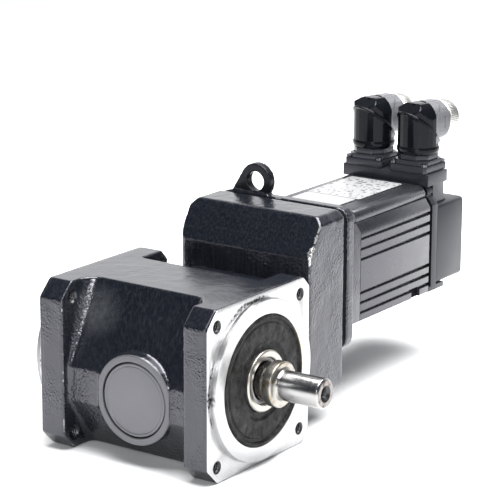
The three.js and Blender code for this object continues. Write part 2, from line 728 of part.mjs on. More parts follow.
function stageGasket() {
  const inset = 1.3;
  const corner = 6;
  const half = STAGE_HALF_WIDTH - inset;
  const outer = roundedRectangle([MOTOR_X - half, MOTOR_X + half],
    [PLATE_BOTTOM + inset, PLATE_TOP - inset], corner);
  const inner = roundedRectangle(
    [MOTOR_X - half + STAGE_WALL, MOTOR_X + half - STAGE_WALL],
    [PLATE_BOTTOM + STAGE_WALL, PLATE_TOP - STAGE_WALL], corner);
  const from = STAGE_BACK + GAP;
  const holes = adapterScrewPlaces().map((centre) =>
    rod('Y', SCREW_SHANK + GAP, STAGE_BACK, GASKET_END + BITE, centre, SMALL));
  const frame = prismY(outer, from, GASKET_END);
  return cut(frame, prismY(inner, from - BITE, GASKET_END + BITE), ...holes);
}

// Lug outline: a round eye whose left flank runs down to the plate as a straight gusset.
function lugOutline() {
  return [
    [LUG_X - LUG_GUSSET, LUG_ROOT],
    ...arc(LUG_X, LUG_HEIGHT, LUG_RADIUS, 142, -40, 10),
    [LUG_X + LUG_HEEL, LUG_ROOT],
  ];
}

function motorAdapterPlate() {
  const half = STAGE_HALF_WIDTH;
  const from = GASKET_END + GAP;
  const corner = 9;
  const boreRadius = 26;
  const outline = roundedRectangle([MOTOR_X - half, MOTOR_X + half], [PLATE_BOTTOM, PLATE_TOP], corner);
  const lug = prismY(lugOutline(), from + LUG_INSET, PLATE_END - LUG_INSET);
  const eye = rod('Y', LUG_HOLE, from - BITE, PLATE_END + BITE, [LUG_X, 0, LUG_HEIGHT], COARSE);
  const bore = rod('Y', boreRadius, from - BITE, PLATE_END + BITE, MOTOR_AXIS, COARSE);
  const seat = PLATE_END - SCREW_HEAD_DEPTH - 2 * GAP;
  const holes = adapterScrewPlaces().map((centre) => turned('Y', [
    [0, from - BITE],
    [SCREW_SHANK + GAP, from - BITE],
    [SCREW_SHANK + GAP, seat],
    [SCREW_HEAD + GAP, seat],
    [SCREW_HEAD + GAP, PLATE_END + BITE],
    [0, PLATE_END + BITE],
  ], centre, SMALL));
  return cut(join(prismY(outline, from, PLATE_END), lug), eye, bore, ...holes);
}

function adapterScrew(centre) {
  const seat = PLATE_END - SCREW_HEAD_DEPTH - GAP;
  const top = seat + SCREW_HEAD_DEPTH;
  const tip = STAGE_BACK - TAPPED_DEPTH + 2;
  const socket = { radius: 2, depth: 1.8 };
  return turned('Y', [
    [0, tip],
    [SCREW_SHANK, tip],
    [SCREW_SHANK, seat],
    [SCREW_HEAD, seat],
    [SCREW_HEAD, top],
    [socket.radius, top],
    [socket.radius, top - socket.depth],
    [0, top - socket.depth],
  ], centre, SMALL);
}

// ---------------------------------------------------------------- motor

const FIN_GROOVES = [20.5, 13, 5.5, -19, -26.2, -33.5];   // heights over the motor axis
const NOTCH = { depth: 2.2, height: 7, along: [226, 237.5] };   // in both lower edges
const GROOVE_WIDTH = 2.8;
const GROOVE_DEPTH = 2.2;
const STATOR_BORE = 33;
const ROTOR_RADIUS = 20;
const ROTOR_CORE = [164, 240];
const STATOR_CORE = [162, 242];
const SLOT_COUNT = 6;
const SLOT_RADIUS = 27;
const FRONT_BEARING = { from: 128, to: 138, bore: 8.5 + GAP, outside: 17.5 };
const REAR_BEARING = { from: 250, to: 259, bore: 7.5 + GAP, outside: 16 };
const BELL_BORE = 11;                 // hole for the shaft in both bells

// Right half of the motor section from its bottom to its top, over the motor axis: a square
// lower corner, a steep upper facet, a narrow groove and a round shoulder.
function motorFlank() {
  return [
    [MOTOR_HALF, -MOTOR_HALF],
    [MOTOR_HALF, 25],
    [MOTOR_HALF - 3.8, 30.6],
    [MOTOR_HALF - 5.4, 31.2],
    [MOTOR_HALF - 5.4, 32],
    ...arc(MOTOR_HALF - 11, 33.5, 6.5, 0, 90, 4),
  ];
}

function motorOutline(inset = 0) {
  const right = motorFlank().map(([x, z]) => [x - inset, Math.max(z, -MOTOR_HALF + inset)]);
  const left = right.map(([x, z]) => [-x, z]).reverse();
  return [...right, ...left].map(([x, z]) => [MOTOR_X + x, MOTOR_HEIGHT + z]);
}

function motorFrontBell() {
  const from = PLATE_END + GAP;
  const wall = from + 2;
  const seat = FRONT_BEARING.outside + GAP;
  const seatEnd = FRONT_BEARING.to + BITE;
  const room = STATOR_BORE - 1;
  const flare = 3;
  const inside = turned('Y', [
    [0, from - BITE],
    [BELL_BORE, from - BITE],
    [BELL_BORE, wall],
    [seat, wall],
    [seat, seatEnd],
    [room, seatEnd + flare],
    [room, BELL_END + BITE],
    [0, BELL_END + BITE],
  ], MOTOR_AXIS, COARSE);
  return cut(prismY(motorOutline(), from, BELL_END), inside);
}

function motorStatorHousing() {
  const from = BELL_END + GAP;
  const bore = rod('Y', STATOR_BORE + GAP, from - BITE, STATOR_END + BITE, MOTOR_AXIS, COARSE);
  const grooves = [];
  for (const height of FIN_GROOVES) {
    const z = [MOTOR_HEIGHT + height - GROOVE_WIDTH / 2, MOTOR_HEIGHT + height + GROOVE_WIDTH / 2];
    const edge = MOTOR_HALF - GROOVE_DEPTH;
    const along = [from - BITE, STATOR_END + BITE];
    grooves.push(box([MOTOR_X + edge, MOTOR_X + MOTOR_HALF + BITE], along, z));
    grooves.push(box([MOTOR_X - MOTOR_HALF - BITE, MOTOR_X - edge], along, z));
  }
  const bottom = MOTOR_HEIGHT - MOTOR_HALF;
  const notches = [-1, 1].map((side) => {
    const wall = MOTOR_X + side * (MOTOR_HALF - NOTCH.depth);
    const open = MOTOR_X + side * (MOTOR_HALF + BITE);
    const across = [Math.min(wall, open), Math.max(wall, open)];
    return box(across, NOTCH.along, [bottom - BITE, bottom + NOTCH.height]);
  });
  return cut(prismY(motorOutline(), from, STATOR_END), bore, ...grooves, ...notches);
}

// Slots and winding bars are evenly spaced round the motor axis.
function slotBars(radialHalf, sideHalf, from, to) {
  const bars = [];
  for (let slot = 0; slot < SLOT_COUNT; slot += 1) {
    const angle = 2 * Math.PI * slot / SLOT_COUNT;
    const geometry = new THREE.BoxGeometry(2 * radialHalf, to - from, 2 * sideHalf);
    geometry.translate(SLOT_RADIUS, (from + to) / 2, 0);
    geometry.rotateY(angle);
    geometry.translate(MOTOR_X, 0, MOTOR_HEIGHT);
    bars.push(solid(geometry));
  }
  return bars;
}

const SLOT_HALVES = [3.5, 2.5];       // radial and sideways half sizes of a slot
const WINDING_ENDS = [150, 247.5];

function statorCore() {
  const airGap = 0.8;
  const body = ring('Y', ROTOR_RADIUS + airGap, STATOR_BORE, ...STATOR_CORE, MOTOR_AXIS, COARSE);
  return cut(body, ...slotBars(...SLOT_HALVES, STATOR_CORE[0] - BITE, STATOR_CORE[1] + BITE));
}

function statorWinding() {
  const radii = [22.5, 31];
  const overhang = (from, to) => ring('Y', ...radii, from, to, MOTOR_AXIS, COARSE);
  const bars = slotBars(...SLOT_HALVES.map((half) => half - GAP), STATOR_CORE[0] - BITE, STATOR_CORE[1] + BITE);
  return join(
    overhang(WINDING_ENDS[0], STATOR_CORE[0] - GAP),
    overhang(STATOR_CORE[1] + GAP, WINDING_ENDS[1]),
    ...bars,
  );
}

function motorRearBell() {
  const from = STATOR_END + GAP;
  const recess = 2.8;
  const across = [MOTOR_X - MOTOR_HALF, MOTOR_X + MOTOR_HALF];
  const [lipEnd, lipTop] = REAR_LIP;
  const outside = join(
    prismY(motorOutline(recess), from, REAR_BAR_START + BITE),
    prismY(motorOutline(), REAR_BAR_START, REAR_BELL_END),
    box(across, [from, lipEnd], [MOTOR_HEIGHT - MOTOR_HALF, lipTop]),
  );
  const seat = REAR_BEARING.outside + GAP;
  const seatEnd = REAR_BEARING.to + GAP;
  const inside = turned('Y', [
    [0, from - BITE],
    [seat, from - BITE],
    [seat, seatEnd],
    [BELL_BORE, seatEnd],
    [BELL_BORE, REAR_BELL_END + BITE],
    [0, REAR_BELL_END + BITE],
  ], MOTOR_AXIS, COARSE);
  const deckSeat = DECK_BOTTOM - GAP;
  const flatTop = box(across, [from - BITE, REAR_BELL_END + BITE],
    [deckSeat, MOTOR_HEIGHT + MOTOR_HALF + BITE]);
  return cut(outside, inside, flatTop);
}

function motorRearCover() {
  const from = REAR_BELL_END + GAP;
  const span = [MOTOR_X - MOTOR_HALF, MOTOR_X + MOTOR_HALF];
  const [bottom, top] = REAR_COVER_HEIGHTS;
  const wall = 5;
  const corner = 3;
  const outline = roundedRectangle(span, [bottom, top], corner, 2);
  const room = box([span[0] + wall, span[1] - wall], [from - BITE, MOTOR_END - wall],
    [bottom + wall, top - wall]);
  return cut(prismY(outline, from, MOTOR_END), room);
}

// Steps of the motor shaft as [radius, end], from the pinion seat to the resolver seat.
const MOTOR_SHAFT_START = 80;
const PINION_SEAT_RADIUS = 5;
const MOTOR_SHAFT_STEPS = [
  [PINION_SEAT_RADIUS, 104],
  [7, 126],
  [8.5, 146],
  [9.7, 245],
  [7.5, 263],
  [5, 287],
];

function motorShaft() {
  const profile = [[0, MOTOR_SHAFT_START]];
  let station = MOTOR_SHAFT_START;
  for (const [radius, end] of MOTOR_SHAFT_STEPS) {
    profile.push([radius, station], [radius, end]);
    station = end;
  }
  profile.push([0, station]);
  return turned('Y', profile, MOTOR_AXIS, COARSE);
}

function motorPinion() {
  const span = [WHEEL_SPAN[0] - 1, WHEEL_SPAN[1] + 1];
  const gear = spurGear(SPUR_MODULE, MOTOR_PINION_TEETH, -Math.PI / 2, MOTOR_X, MOTOR_HEIGHT, ...span);
  const bore = rod('Y', PINION_SEAT_RADIUS + GAP, span[0] - BITE, span[1] + BITE, MOTOR_AXIS, COARSE);
  return cut(gear, bore);
}

function motorGroup() {
  place('motor_front_bell', motorFrontBell(), motorPaint);
  place('motor_stator_housing', motorStatorHousing(), motorPaint);
  place('stator_core', statorCore(), coreSteel);
  place('stator_winding', statorWinding(), copperWire);
  place('motor_rear_bell', motorRearBell(), motorPaint);
  place('motor_rear_cover', motorRearCover(), motorPaint);
  place('motor_shaft', motorShaft(), groundSteel);
  place('motor_pinion', motorPinion(), gearSteel);
  const rotor = ring('Y', 10, ROTOR_RADIUS, ...ROTOR_CORE, MOTOR_AXIS, COARSE);
  place('rotor_core', rotor, coreSteel);
  const resolver = { bore: 5 + GAP, rotor: 10, inner: 10.8, outer: 18, from: 275, to: 284 };
  const { from, to } = resolver;
  const resolverRotor = ring('Y', resolver.bore, resolver.rotor, from, to, MOTOR_AXIS, COARSE);
  const resolverStator = ring('Y', resolver.inner, resolver.outer, from - 1, to + 1, MOTOR_AXIS, COARSE);
  place('resolver_rotor', resolverRotor, coreSteel);
  place('resolver_stator', resolverStator, copperWire);
  for (const [name, seat] of [['motor_front', FRONT_BEARING], ['motor_rear', REAR_BEARING]]) {
    bearing(name, 'Y', MOTOR_AXIS, seat.from, seat.to, seat.bore, seat.outside);
  }
}

const LABEL_THICKNESS = 0.5;
const REAR_LABEL = { x: [-18, 26], y: [184, 243.5] };
const FRONT_LABEL = { x: [-17, 24], y: [161, 183] };

// Two thin printed labels lie on the flat top of the motor.
function labels() {
  const bottom = MOTOR_HEIGHT + MOTOR_HALF + GAP;
  const z = [bottom, bottom + LABEL_THICKNESS];
  place('rating_label_rear', box(REAR_LABEL.x, REAR_LABEL.y, z), labelFilm);
  place('rating_label_front', box(FRONT_LABEL.x, FRONT_LABEL.y, z), labelFilm);
}

// ---------------------------------------------------------------- connectors

const FLANGE_HALF = 15.8;             // stepped square flange under each connector
const STEP_HALF = 13.6;
const STEP_CUT = 6.5;
const FLANGE_TOP = 148;
const STEP_TOP = 156;
const FLANGE_CUT = 2;
const WIREWAY_RADIUS = 9;
const SCREW_OFFSET = 12.9;
const SMALL_SCREW = { shank: 1.3, head: 2.3, headDepth: 2 };
const SOCKET_FLOOR = 8;               // bottom of the round socket, from the head's own axis
const SOCKET_RADIUS = 11.2;
const INSERT_THICKNESS = 4;
const PIN_COUNT = 5;
const PIN_CIRCLE = 6;
const PIN_RADIUS = 1;
const PIN_LENGTH = 6;

function connectorBase() {
  const half = 37;
  const [front, back] = [251.3, 279];
  const deck = [DECK_BOTTOM, CONNECTOR_BASE_TOP];
  const lid = box([MOTOR_X - half, MOTOR_X + half], [front, back], deck);
  const foot = REAR_COVER_HEIGHTS[1] + GAP;
  const inset = 1.5;
  const neck = prism('X', [
    [REAR_BELL_END + GAP, foot],
    [back + 2, foot],
    [back - 1, foot + 1.7],
    [back - 2, foot + 4.7],
    [back - 2, DECK_BOTTOM + BITE],
    [REAR_BELL_END + GAP, DECK_BOTTOM + BITE],
  ], MOTOR_X - half + inset, MOTOR_X + half - inset);
  return join(lid, neck);
}

function cutCornerSquare(half, corner) {
  return [
    [half - corner, -half], [half, -half + corner], [half, half - corner], [half - corner, half],
    [-half + corner, half], [-half, half - corner], [-half, -half + corner], [-half + corner, -half],
  ];
}

function connectorFlange() {
  const from = CONNECTOR_BASE_TOP + GAP;
  const plate = prism('Z', cutCornerSquare(FLANGE_HALF, FLANGE_CUT), from, FLANGE_TOP);
  const step = prism('Z', cutCornerSquare(STEP_HALF, STEP_CUT), from, STEP_TOP);
  const bore = rod('Z', WIREWAY_RADIUS, from - BITE, STEP_TOP + BITE, [0, 0, 0], COARSE);
  const holes = connectorScrewPlaces().map(([x, y]) =>
    rod('Z', SMALL_SCREW.shank + GAP, from - BITE, FLANGE_TOP + BITE, [x, y, 0], SMALL));
  return cut(join(plate, step), bore, ...holes);
}

function connectorScrewPlaces() {
  const places = [];
  for (const x of [-SCREW_OFFSET, SCREW_OFFSET]) {
    for (const y of [-SCREW_OFFSET, SCREW_OFFSET]) places.push([x, y]);
  }
  return places;
}

function connectorScrew(x, y) {
  const tip = CONNECTOR_BASE_TOP + 2 * GAP;
  const seat = FLANGE_TOP + GAP;
  const top = seat + SMALL_SCREW.headDepth;
  return turned('Z', [
    [0, tip],
    [SMALL_SCREW.shank, tip],
    [SMALL_SCREW.shank, seat],
    [SMALL_SCREW.head, seat],
    [SMALL_SCREW.head, top],
    [0, top],
  ], [x, y, 0], SMALL);
}

// Elbow: an upright round head with a slanted crown runs into the level outlet tube.
function connectorBody() {
  const upright = rod('Z', HEAD_RADIUS, HEAD_BOTTOM, HEAD_TOP, [0, 0, 0], MEDIUM);
  const reach = HEAD_RADIUS + BITE;
  const slant = { start: -5, drop: 8 };
  const crown = prism('X', [
    [-reach, HEAD_BOTTOM - BITE],
    [reach, HEAD_BOTTOM - BITE],
    [reach, HEAD_TOP],
    [slant.start, HEAD_TOP],
    [-reach, HEAD_TOP - slant.drop],
  ], -reach, reach);
  const outlet = rod('Y', OUTLET_RADIUS, 0, OUTLET_END, [0, 0, OUTLET_HEIGHT], MEDIUM);
  const mouth = OUTLET_END + BITE;
  const socket = rod('Y', SOCKET_RADIUS, SOCKET_FLOOR, mouth, [0, 0, OUTLET_HEIGHT], COARSE);
  const wireTop = OUTLET_HEIGHT - 6;
  const wireway = rod('Z', WIREWAY_RADIUS, HEAD_BOTTOM - BITE, wireTop, [0, 0, 0], MEDIUM);
  return cut(join(upright.intersect(crown), outlet), socket, wireway);
}

function couplingRing() {
  const inner = SOCKET_RADIUS + 0.2;
  return ring('Y', inner, RING_RADIUS, OUTLET_END + GAP, RING_END, [0, 0, OUTLET_HEIGHT], MEDIUM);
}

// Contact carrier at the bottom of the socket, with a circle of contact pins.
function connectorInsert() {
  const face = SOCKET_FLOOR + INSERT_THICKNESS;
  const pins = Array.from({ length: PIN_COUNT }, (_, pin) => {
    const angle = 2 * Math.PI * pin / PIN_COUNT;
    const centre = [PIN_CIRCLE * Math.cos(angle), 0, OUTLET_HEIGHT + PIN_CIRCLE * Math.sin(angle)];
    return rod('Y', PIN_RADIUS, face - BITE, face + PIN_LENGTH, centre, SMALL);
  });
  const floor = SOCKET_FLOOR + GAP;
  const carrier = rod('Y', SOCKET_RADIUS - GAP, floor, face, [0, 0, OUTLET_HEIGHT], COARSE);
  return join(carrier, ...pins);
}

function connector(name, x) {
  const stand = new THREE.Group();
  stand.position.set(x, CONNECTOR_Y, 0);
  root.add(stand);
  place(`${name}_connector_flange`, connectorFlange(), motorPaint, stand);
  connectorScrewPlaces().forEach(([sx, sy], index) =>
    place(`${name}_connector_screw_${index + 1}`, connectorScrew(sx, sy), screwSteel, stand));
  const head = new THREE.Group();
  head.rotation.z = CONNECTOR_TURN;
  stand.add(head);
  place(`${name}_connector_body`, connectorBody(), blackPaint, head);
  place(`${name}_connector_insert`, connectorInsert(), blackPlastic, head);
  place(`${name}_coupling_ring`, couplingRing(), nickelPlate, head);
}

// ---------------------------------------------------------------- assembly

place('gear_case', gearCase(), blackPaint);
place('access_cap', accessCap(), blackPaint);
place('access_cap_ring', accessCapRing(), darkRubber);
place('end_cover', endCover(), bareAluminium);
place('output_oil_seal', outputOilSeal(), darkRubber);
outputGroup();
pinionGroup();
place('stage_housing', stageHousing(), blackPaint);
place('stage_gasket', stageGasket(), darkRubber);
place('motor_adapter_plate', motorAdapterPlate(), blackPaint);
adapterScrewPlaces().forEach((centre, index) =>
  place(`adapter_screw_${index + 1}`, adapterScrew(centre), screwSteel));
motorGroup();
labels();
place('connector_base', connectorBase(), motorPaint);
connector('power', CONNECTOR_X[1]);
connector('signal', CONNECTOR_X[0]);

export default root;
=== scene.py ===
"""Right-angle servo gearmotor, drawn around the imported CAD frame.

Lengths are in metres in the part's own frame: +X is the output shaft, +Y runs from the gear
case to the motor and +Z is up. Castings are remeshed copies of their CAD solids, so that their
edges and inner corners are rounded; machined pieces are turned or cut afresh.
"""
import json
from math import cos, pi, radians, sin

import bmesh
import bpy
import numpy as np
from mathutils import Matrix, Vector, noise

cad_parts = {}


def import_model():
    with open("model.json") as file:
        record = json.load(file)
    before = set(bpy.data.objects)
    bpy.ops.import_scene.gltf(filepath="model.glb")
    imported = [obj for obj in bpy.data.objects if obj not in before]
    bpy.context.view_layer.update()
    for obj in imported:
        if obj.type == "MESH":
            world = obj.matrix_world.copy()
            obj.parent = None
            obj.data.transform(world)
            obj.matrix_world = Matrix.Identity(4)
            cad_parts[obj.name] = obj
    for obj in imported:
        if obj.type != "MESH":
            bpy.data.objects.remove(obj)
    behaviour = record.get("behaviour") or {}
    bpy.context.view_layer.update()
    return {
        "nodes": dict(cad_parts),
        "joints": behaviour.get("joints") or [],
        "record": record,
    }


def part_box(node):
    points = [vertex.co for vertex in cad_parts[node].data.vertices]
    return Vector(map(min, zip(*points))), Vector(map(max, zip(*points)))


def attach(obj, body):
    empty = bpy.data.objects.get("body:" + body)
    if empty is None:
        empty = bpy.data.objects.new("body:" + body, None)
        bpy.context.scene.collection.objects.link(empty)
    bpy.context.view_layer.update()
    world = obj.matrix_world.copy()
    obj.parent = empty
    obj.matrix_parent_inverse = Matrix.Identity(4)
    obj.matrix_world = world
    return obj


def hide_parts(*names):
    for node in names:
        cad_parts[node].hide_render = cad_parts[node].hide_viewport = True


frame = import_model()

MM = 0.001
WELD = 1e-6                    # vertices closer than this are one
SEGMENTS = 128                 # facets round a turned piece
GAP = 0.3 * MM                 # clearance between neighbouring pieces, as in the CAD model
LIFT = 0.12 * MM               # how far a machined skin stands off the casting under it

# -------------------- places, from the frame

CASE_LOW, CASE_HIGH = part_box("gear_case")
SPIGOT_HEIGHT = 4 * MM
SPIGOT_RADIUS = 54 * MM
FLANGE_FACE = CASE_HIGH.x - SPIGOT_HEIGHT
FLANGE_HALF = -CASE_LOW.y
AXIS_HEIGHT = FLANGE_HALF
OUTPUT_AXIS = Vector((0, 0, AXIS_HEIGHT))
BOLT_OFFSET = 46.7 * MM
BOLT_PLACES = [(y, z) for y in (-BOLT_OFFSET, BOLT_OFFSET) for z in (-BOLT_OFFSET, BOLT_OFFSET)]
BOLT_RADIUS = 4.15 * MM
NEAR_CHAMFER = 10.8 * MM
FAR_CHAMFER = 7 * MM

CAP_LOW, CAP_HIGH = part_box("access_cap")
CAP_CENTRE = (CAP_LOW + CAP_HIGH) / 2
CAP_AXIS = (CAP_CENTRE.x, 0, CAP_CENTRE.z)
CAP_RADIUS = (CAP_HIGH.x - CAP_LOW.x) / 2
SEAL_LOW, SEAL_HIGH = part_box("output_oil_seal")
SEAL_RADIUS = SEAL_HIGH.y
SHAFT_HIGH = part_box("output_shaft")[1]
STAGE_LOW, STAGE_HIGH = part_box("stage_housing")
STATOR_LOW, STATOR_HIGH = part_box("motor_stator_housing")
BELL_LOW, BELL_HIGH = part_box("motor_front_bell")
MOTOR_HALF = (STATOR_HIGH.x - STATOR_LOW.x) / 2
MOTOR_AXIS = Vector(((STATOR_HIGH.x + STATOR_LOW.x) / 2, 0, STATOR_LOW.z + MOTOR_HALF))

# Local axes of a turned or extruded piece: its last axis runs along the named one.
AXES = {
    "X": Matrix(((0, 0, 1), (1, 0, 0), (0, 1, 0))),
    "Y": Matrix(((0, 1, 0), (0, 0, 1), (1, 0, 0))),
    "Z": Matrix.Identity(3),
}


# -------------------- mesh helpers

def mesh_object(name, data):
    """A new object in the scene that shows a mesh, a curve, a lamp or a camera."""
    obj = bpy.data.objects.new(name, data)
    bpy.context.scene.collection.objects.link(obj)
    return obj


def object_from(name, shape):
    """A new object from a bmesh, which is used up."""
    bmesh.ops.recalc_face_normals(shape, faces=shape.faces)
    mesh = bpy.data.meshes.new(name)
    shape.to_mesh(mesh)
    shape.free()
    return mesh_object(name, mesh)


def evaluated_mesh(obj):
    bpy.context.view_layer.update()
    graph = bpy.context.evaluated_depsgraph_get()
    return bpy.data.meshes.new_from_object(obj.evaluated_get(graph))


def apply_modifiers(obj):
    mesh = evaluated_mesh(obj)
    obj.modifiers.clear()
    obj.data = mesh


def mesh_of_curve(curve):
    """The mesh of a curve, which is used up."""
    holder = mesh_object("holder", curve)
    mesh = evaluated_mesh(holder)
    bpy.data.objects.remove(holder)
    bpy.data.curves.remove(curve)
    return mesh


def solid_copy(name, node, dissolve=True):
    """A welded copy of a CAD node's mesh, with its flat faces whole again."""
    shape = bmesh.new()
    shape.from_mesh(frame["nodes"][node].data)
    bmesh.ops.remove_doubles(shape, verts=shape.verts, dist=WELD)
    if dissolve:
        bmesh.ops.dissolve_limit(
            shape, angle_limit=radians(1), verts=shape.verts, edges=shape.edges
        )
    return object_from(name, shape)


def block(name, low, high):
    """A box between two corners."""
    shape = bmesh.new()
    low, high = Vector(low), Vector(high)
    size = Matrix.Diagonal((high - low).to_4d())
    size[3][3] = 1
    bmesh.ops.create_cube(shape, size=1, matrix=Matrix.Translation((low + high) / 2) @ size)
    return object_from(name, shape)


def combine(obj, tool, operation):
    """Cuts, joins or intersects obj with a closed tool, which is used up."""
    modifier = obj.modifiers.new("boolean", "BOOLEAN")
    modifier.operation = operation
    modifier.solver = "EXACT"
    modifier.object = tool
    apply_modifiers(obj)
    bpy.data.objects.remove(tool)
    return obj


def bevelled(obj, width, segments=2):
    modifier = obj.modifiers.new("edges", "BEVEL")
    modifier.width = width
    modifier.segments = segments
    modifier.limit_method = "ANGLE"
    modifier.angle_limit = radians(30)
    apply_modifiers(obj)
    return obj


def shade(obj, angle=35):
    obj.data.shade_smooth()
    obj.data.set_sharp_from_angle(angle=radians(angle))
    return obj


def arc(centre_a, centre_b, radius, start, end, steps):
    """Points of a circular arc, both ends included; angles in degrees."""
    angles = [radians(start + (end - start) * i / steps) for i in range(steps + 1)]
    return [(centre_a + radius * cos(t), centre_b + radius * sin(t)) for t in angles]


def circle(centre_a, centre_b, radius, steps=48):
    return arc(centre_a, centre_b, radius, 0, 360, steps)[:-1]


def rounded_rectangle(a, b, radius, steps=6):
    return (
        arc(a[1] - radius, b[0] + radius, radius, -90, 0, steps)
        + arc(a[1] - radius, b[1] - radius, radius, 0, 90, steps)
        + arc(a[0] + radius, b[1] - radius, radius, 90, 180, steps)
        + arc(a[0] + radius, b[0] + radius, radius, 180, 270, steps)
    )


def softened(points, radius, closed=False, steps=3):
    """The same line with each corner rounded; a corner between short stretches less so."""
    most = 0.45                # of a stretch that one rounded corner may take
    points = [Vector(p) for p in points]
    count = len(points)
    line = []
    for i, corner in enumerate(points):
        if not closed and i in (0, count - 1):
            line.append(tuple(corner))
            continue
        before = points[i - 1] - corner
        after = points[(i + 1) % count] - corner
        reach = min(radius, most * before.length, most * after.length)
        first = corner + before.normalized() * reach
        last = corner + after.normalized() * reach
        for k in range(steps + 1):
            t = k / steps
            line.append(tuple(first * (1 - t) ** 2 + corner * 2 * t * (1 - t) + last * t ** 2))
    return line


def turned(name, axis, centre, profile, radius=0.3 * MM, segments=SEGMENTS, flutes=None):
    """Solid of revolution from (radius, station) pairs, which start and end on the axis or
    close on themselves. flutes = (count, depth, smallest radius) ribs its outer surface."""
    closed = profile[0][0] > WELD
    line = softened(profile, radius, closed)
    turn = AXES[axis]
    shape = bmesh.new()
    rings = []
    for reach, station in line:
        ring = []
        for k in range(segments if reach > WELD else 1):
            angle = 2 * pi * k / segments
            away = reach
            if flutes and reach > flutes[2]:
                away -= flutes[1] * (0.5 + 0.5 * cos(angle * flutes[0]))
            local = Vector((away * cos(angle), away * sin(angle), station))
            ring.append(shape.verts.new(Vector(centre) + turn @ local))
        rings.append(ring)
    pairs = list(zip(rings, rings[1:]))
    if closed:
        pairs.append((rings[-1], rings[0]))
    for near, far in pairs:
        for k in range(segments):
            following = k + 1
            corners = list(dict.fromkeys((
                near[k % len(near)],
                near[following % len(near)],
                far[following % len(far)],
                far[k % len(far)],
            )))
            if len(corners) > 2:
                shape.faces.new(corners)
    return object_from(name, shape)


def prism(name, axis, outlines, start, end, bevel):
    """Extruded piece with bevelled rims. The first outline is the outside, the rest are holes.
    Outlines are (Y, Z) pairs for X, (Z, X) pairs for Y and (X, Y) pairs for Z."""
    curve = bpy.data.curves.new(name, "CURVE")
    curve.dimensions = "2D"
    curve.fill_mode = "BOTH"
    curve.extrude = (end - start) / 2 - bevel
    curve.bevel_depth = bevel
    curve.bevel_resolution = 1
    curve.offset = -bevel
    for outline in outlines:
        spline = curve.splines.new("POLY")
        spline.points.add(len(outline) - 1)
        spline.use_cyclic_u = True
        for point, (a, b) in zip(spline.points, outline):
            point.co = (a, b, 0, 1)
    mesh = mesh_of_curve(curve)
    mesh.transform(Matrix.Translation((0, 0, (start + end) / 2)))
    mesh.transform(AXES[axis].to_4x4())
    shape = bmesh.new()
    shape.from_mesh(mesh)
    bpy.data.meshes.remove(mesh)
    bmesh.ops.remove_doubles(shape, verts=shape.verts, dist=WELD)
    return object_from(name, shape)


# -------------------- castings

def positions_of(mesh):
    flat = np.empty(len(mesh.vertices) * 3)
    mesh.vertices.foreach_get("co", flat)
    return flat.reshape(-1, 3)


def normals_of(mesh):
    flat = np.empty(len(mesh.vertices) * 3)
    mesh.vertex_normals.foreach_get("vector", flat)
    return flat.reshape(-1, 3)


def noise_at(points, size, shift=Vector((0, 0, 0))):
    return np.array([noise.noise(Vector(p) / size + shift) for p in points])


WAVE = 9 * MM                  # width of the waves that sand casting leaves
RIPPLE = 0.36 * WAVE           # finer waves on top of them
RIPPLE_SHARE = 0.45
CHIP = 6 * MM
FINE_CHIP = 1.4 * MM
RARE_CHIP = 0.42               # noise level above which an edge has lost its paint
MOST_WEAR = 0.6                # on a worn edge; a chipped patch is quite bare
CHIP_RIM = 0.4 * MM


def roughen(mesh, depth, seed):
    """Moves the skin in and out a little, as sand casting leaves it."""
    shift = Vector((seed, seed * 0.7, seed * 1.3))
    points = positions_of(mesh)
    rise = noise_at(points, WAVE, shift) + RIPPLE_SHARE * noise_at(points, RIPPLE, shift)
    points += normals_of(mesh) * (rise * depth)[:, None]
    mesh.vertices.foreach_set("co", points.ravel())
    mesh.update()


def edge_wear(mesh, threshold, patches=()):
    """Stores how bare each vertex is, from 0 to 1: along outer edges, where the paint is thin,
    and along patches = (start, end, reach), where it is chipped off."""
    points = positions_of(mesh)
    edges = np.empty(len(mesh.edges) * 2, np.int64)
    mesh.edges.foreach_get("vertices", edges)
    edges = edges.reshape(-1, 2)
    total = np.zeros_like(points)
    count = np.zeros(len(points))
    for here, there in ((0, 1), (1, 0)):
        np.add.at(total, edges[:, here], points[edges[:, there]])
        np.add.at(count, edges[:, here], 1)
    middle = total / np.maximum(count, 1)[:, None] - points
    bulge = -(middle * normals_of(mesh)).sum(1)
    chips = noise_at(points, CHIP)
    fine = noise_at(points, FINE_CHIP)
    thin_paint = np.clip((bulge - threshold) / threshold, 0, 1)
    wear = MOST_WEAR * thin_paint * np.clip((chips + 0.4 * fine - RARE_CHIP) * 6, 0, 1)
    for start, end, reach in patches:
        start = np.array(start)
        run = np.array(end) - start
        along = np.clip((points - start) @ run / (run @ run), 0, 1)
        away = np.linalg.norm(points - (start + along[:, None] * run), axis=1)
        ragged = reach * (1 + 0.9 * chips + 0.8 * fine)
        wear = np.maximum(wear, np.clip((ragged - away) / CHIP_RIM, 0, 1))
    layer = mesh.attributes.new("wear", "FLOAT", "POINT")
    layer.data.foreach_set("value", wear)


def melt(obj, extras, voxel, passes):
    """Joins other closed pieces to obj, remeshes all on a fine grid and rounds the edges."""
    shape = bmesh.new()
    shape.from_mesh(obj.data)
    for extra in extras:
        shape.from_mesh(extra.data)
        bpy.data.objects.remove(extra)
    shape.to_mesh(obj.data)
    shape.free()
    grid = obj.modifiers.new("grid", "REMESH")
    grid.mode = "VOXEL"
    grid.voxel_size = voxel
    fillet = obj.modifiers.new("fillets", "SMOOTH")
    fillet.factor = 0.5
    fillet.iterations = passes
    apply_modifiers(obj)


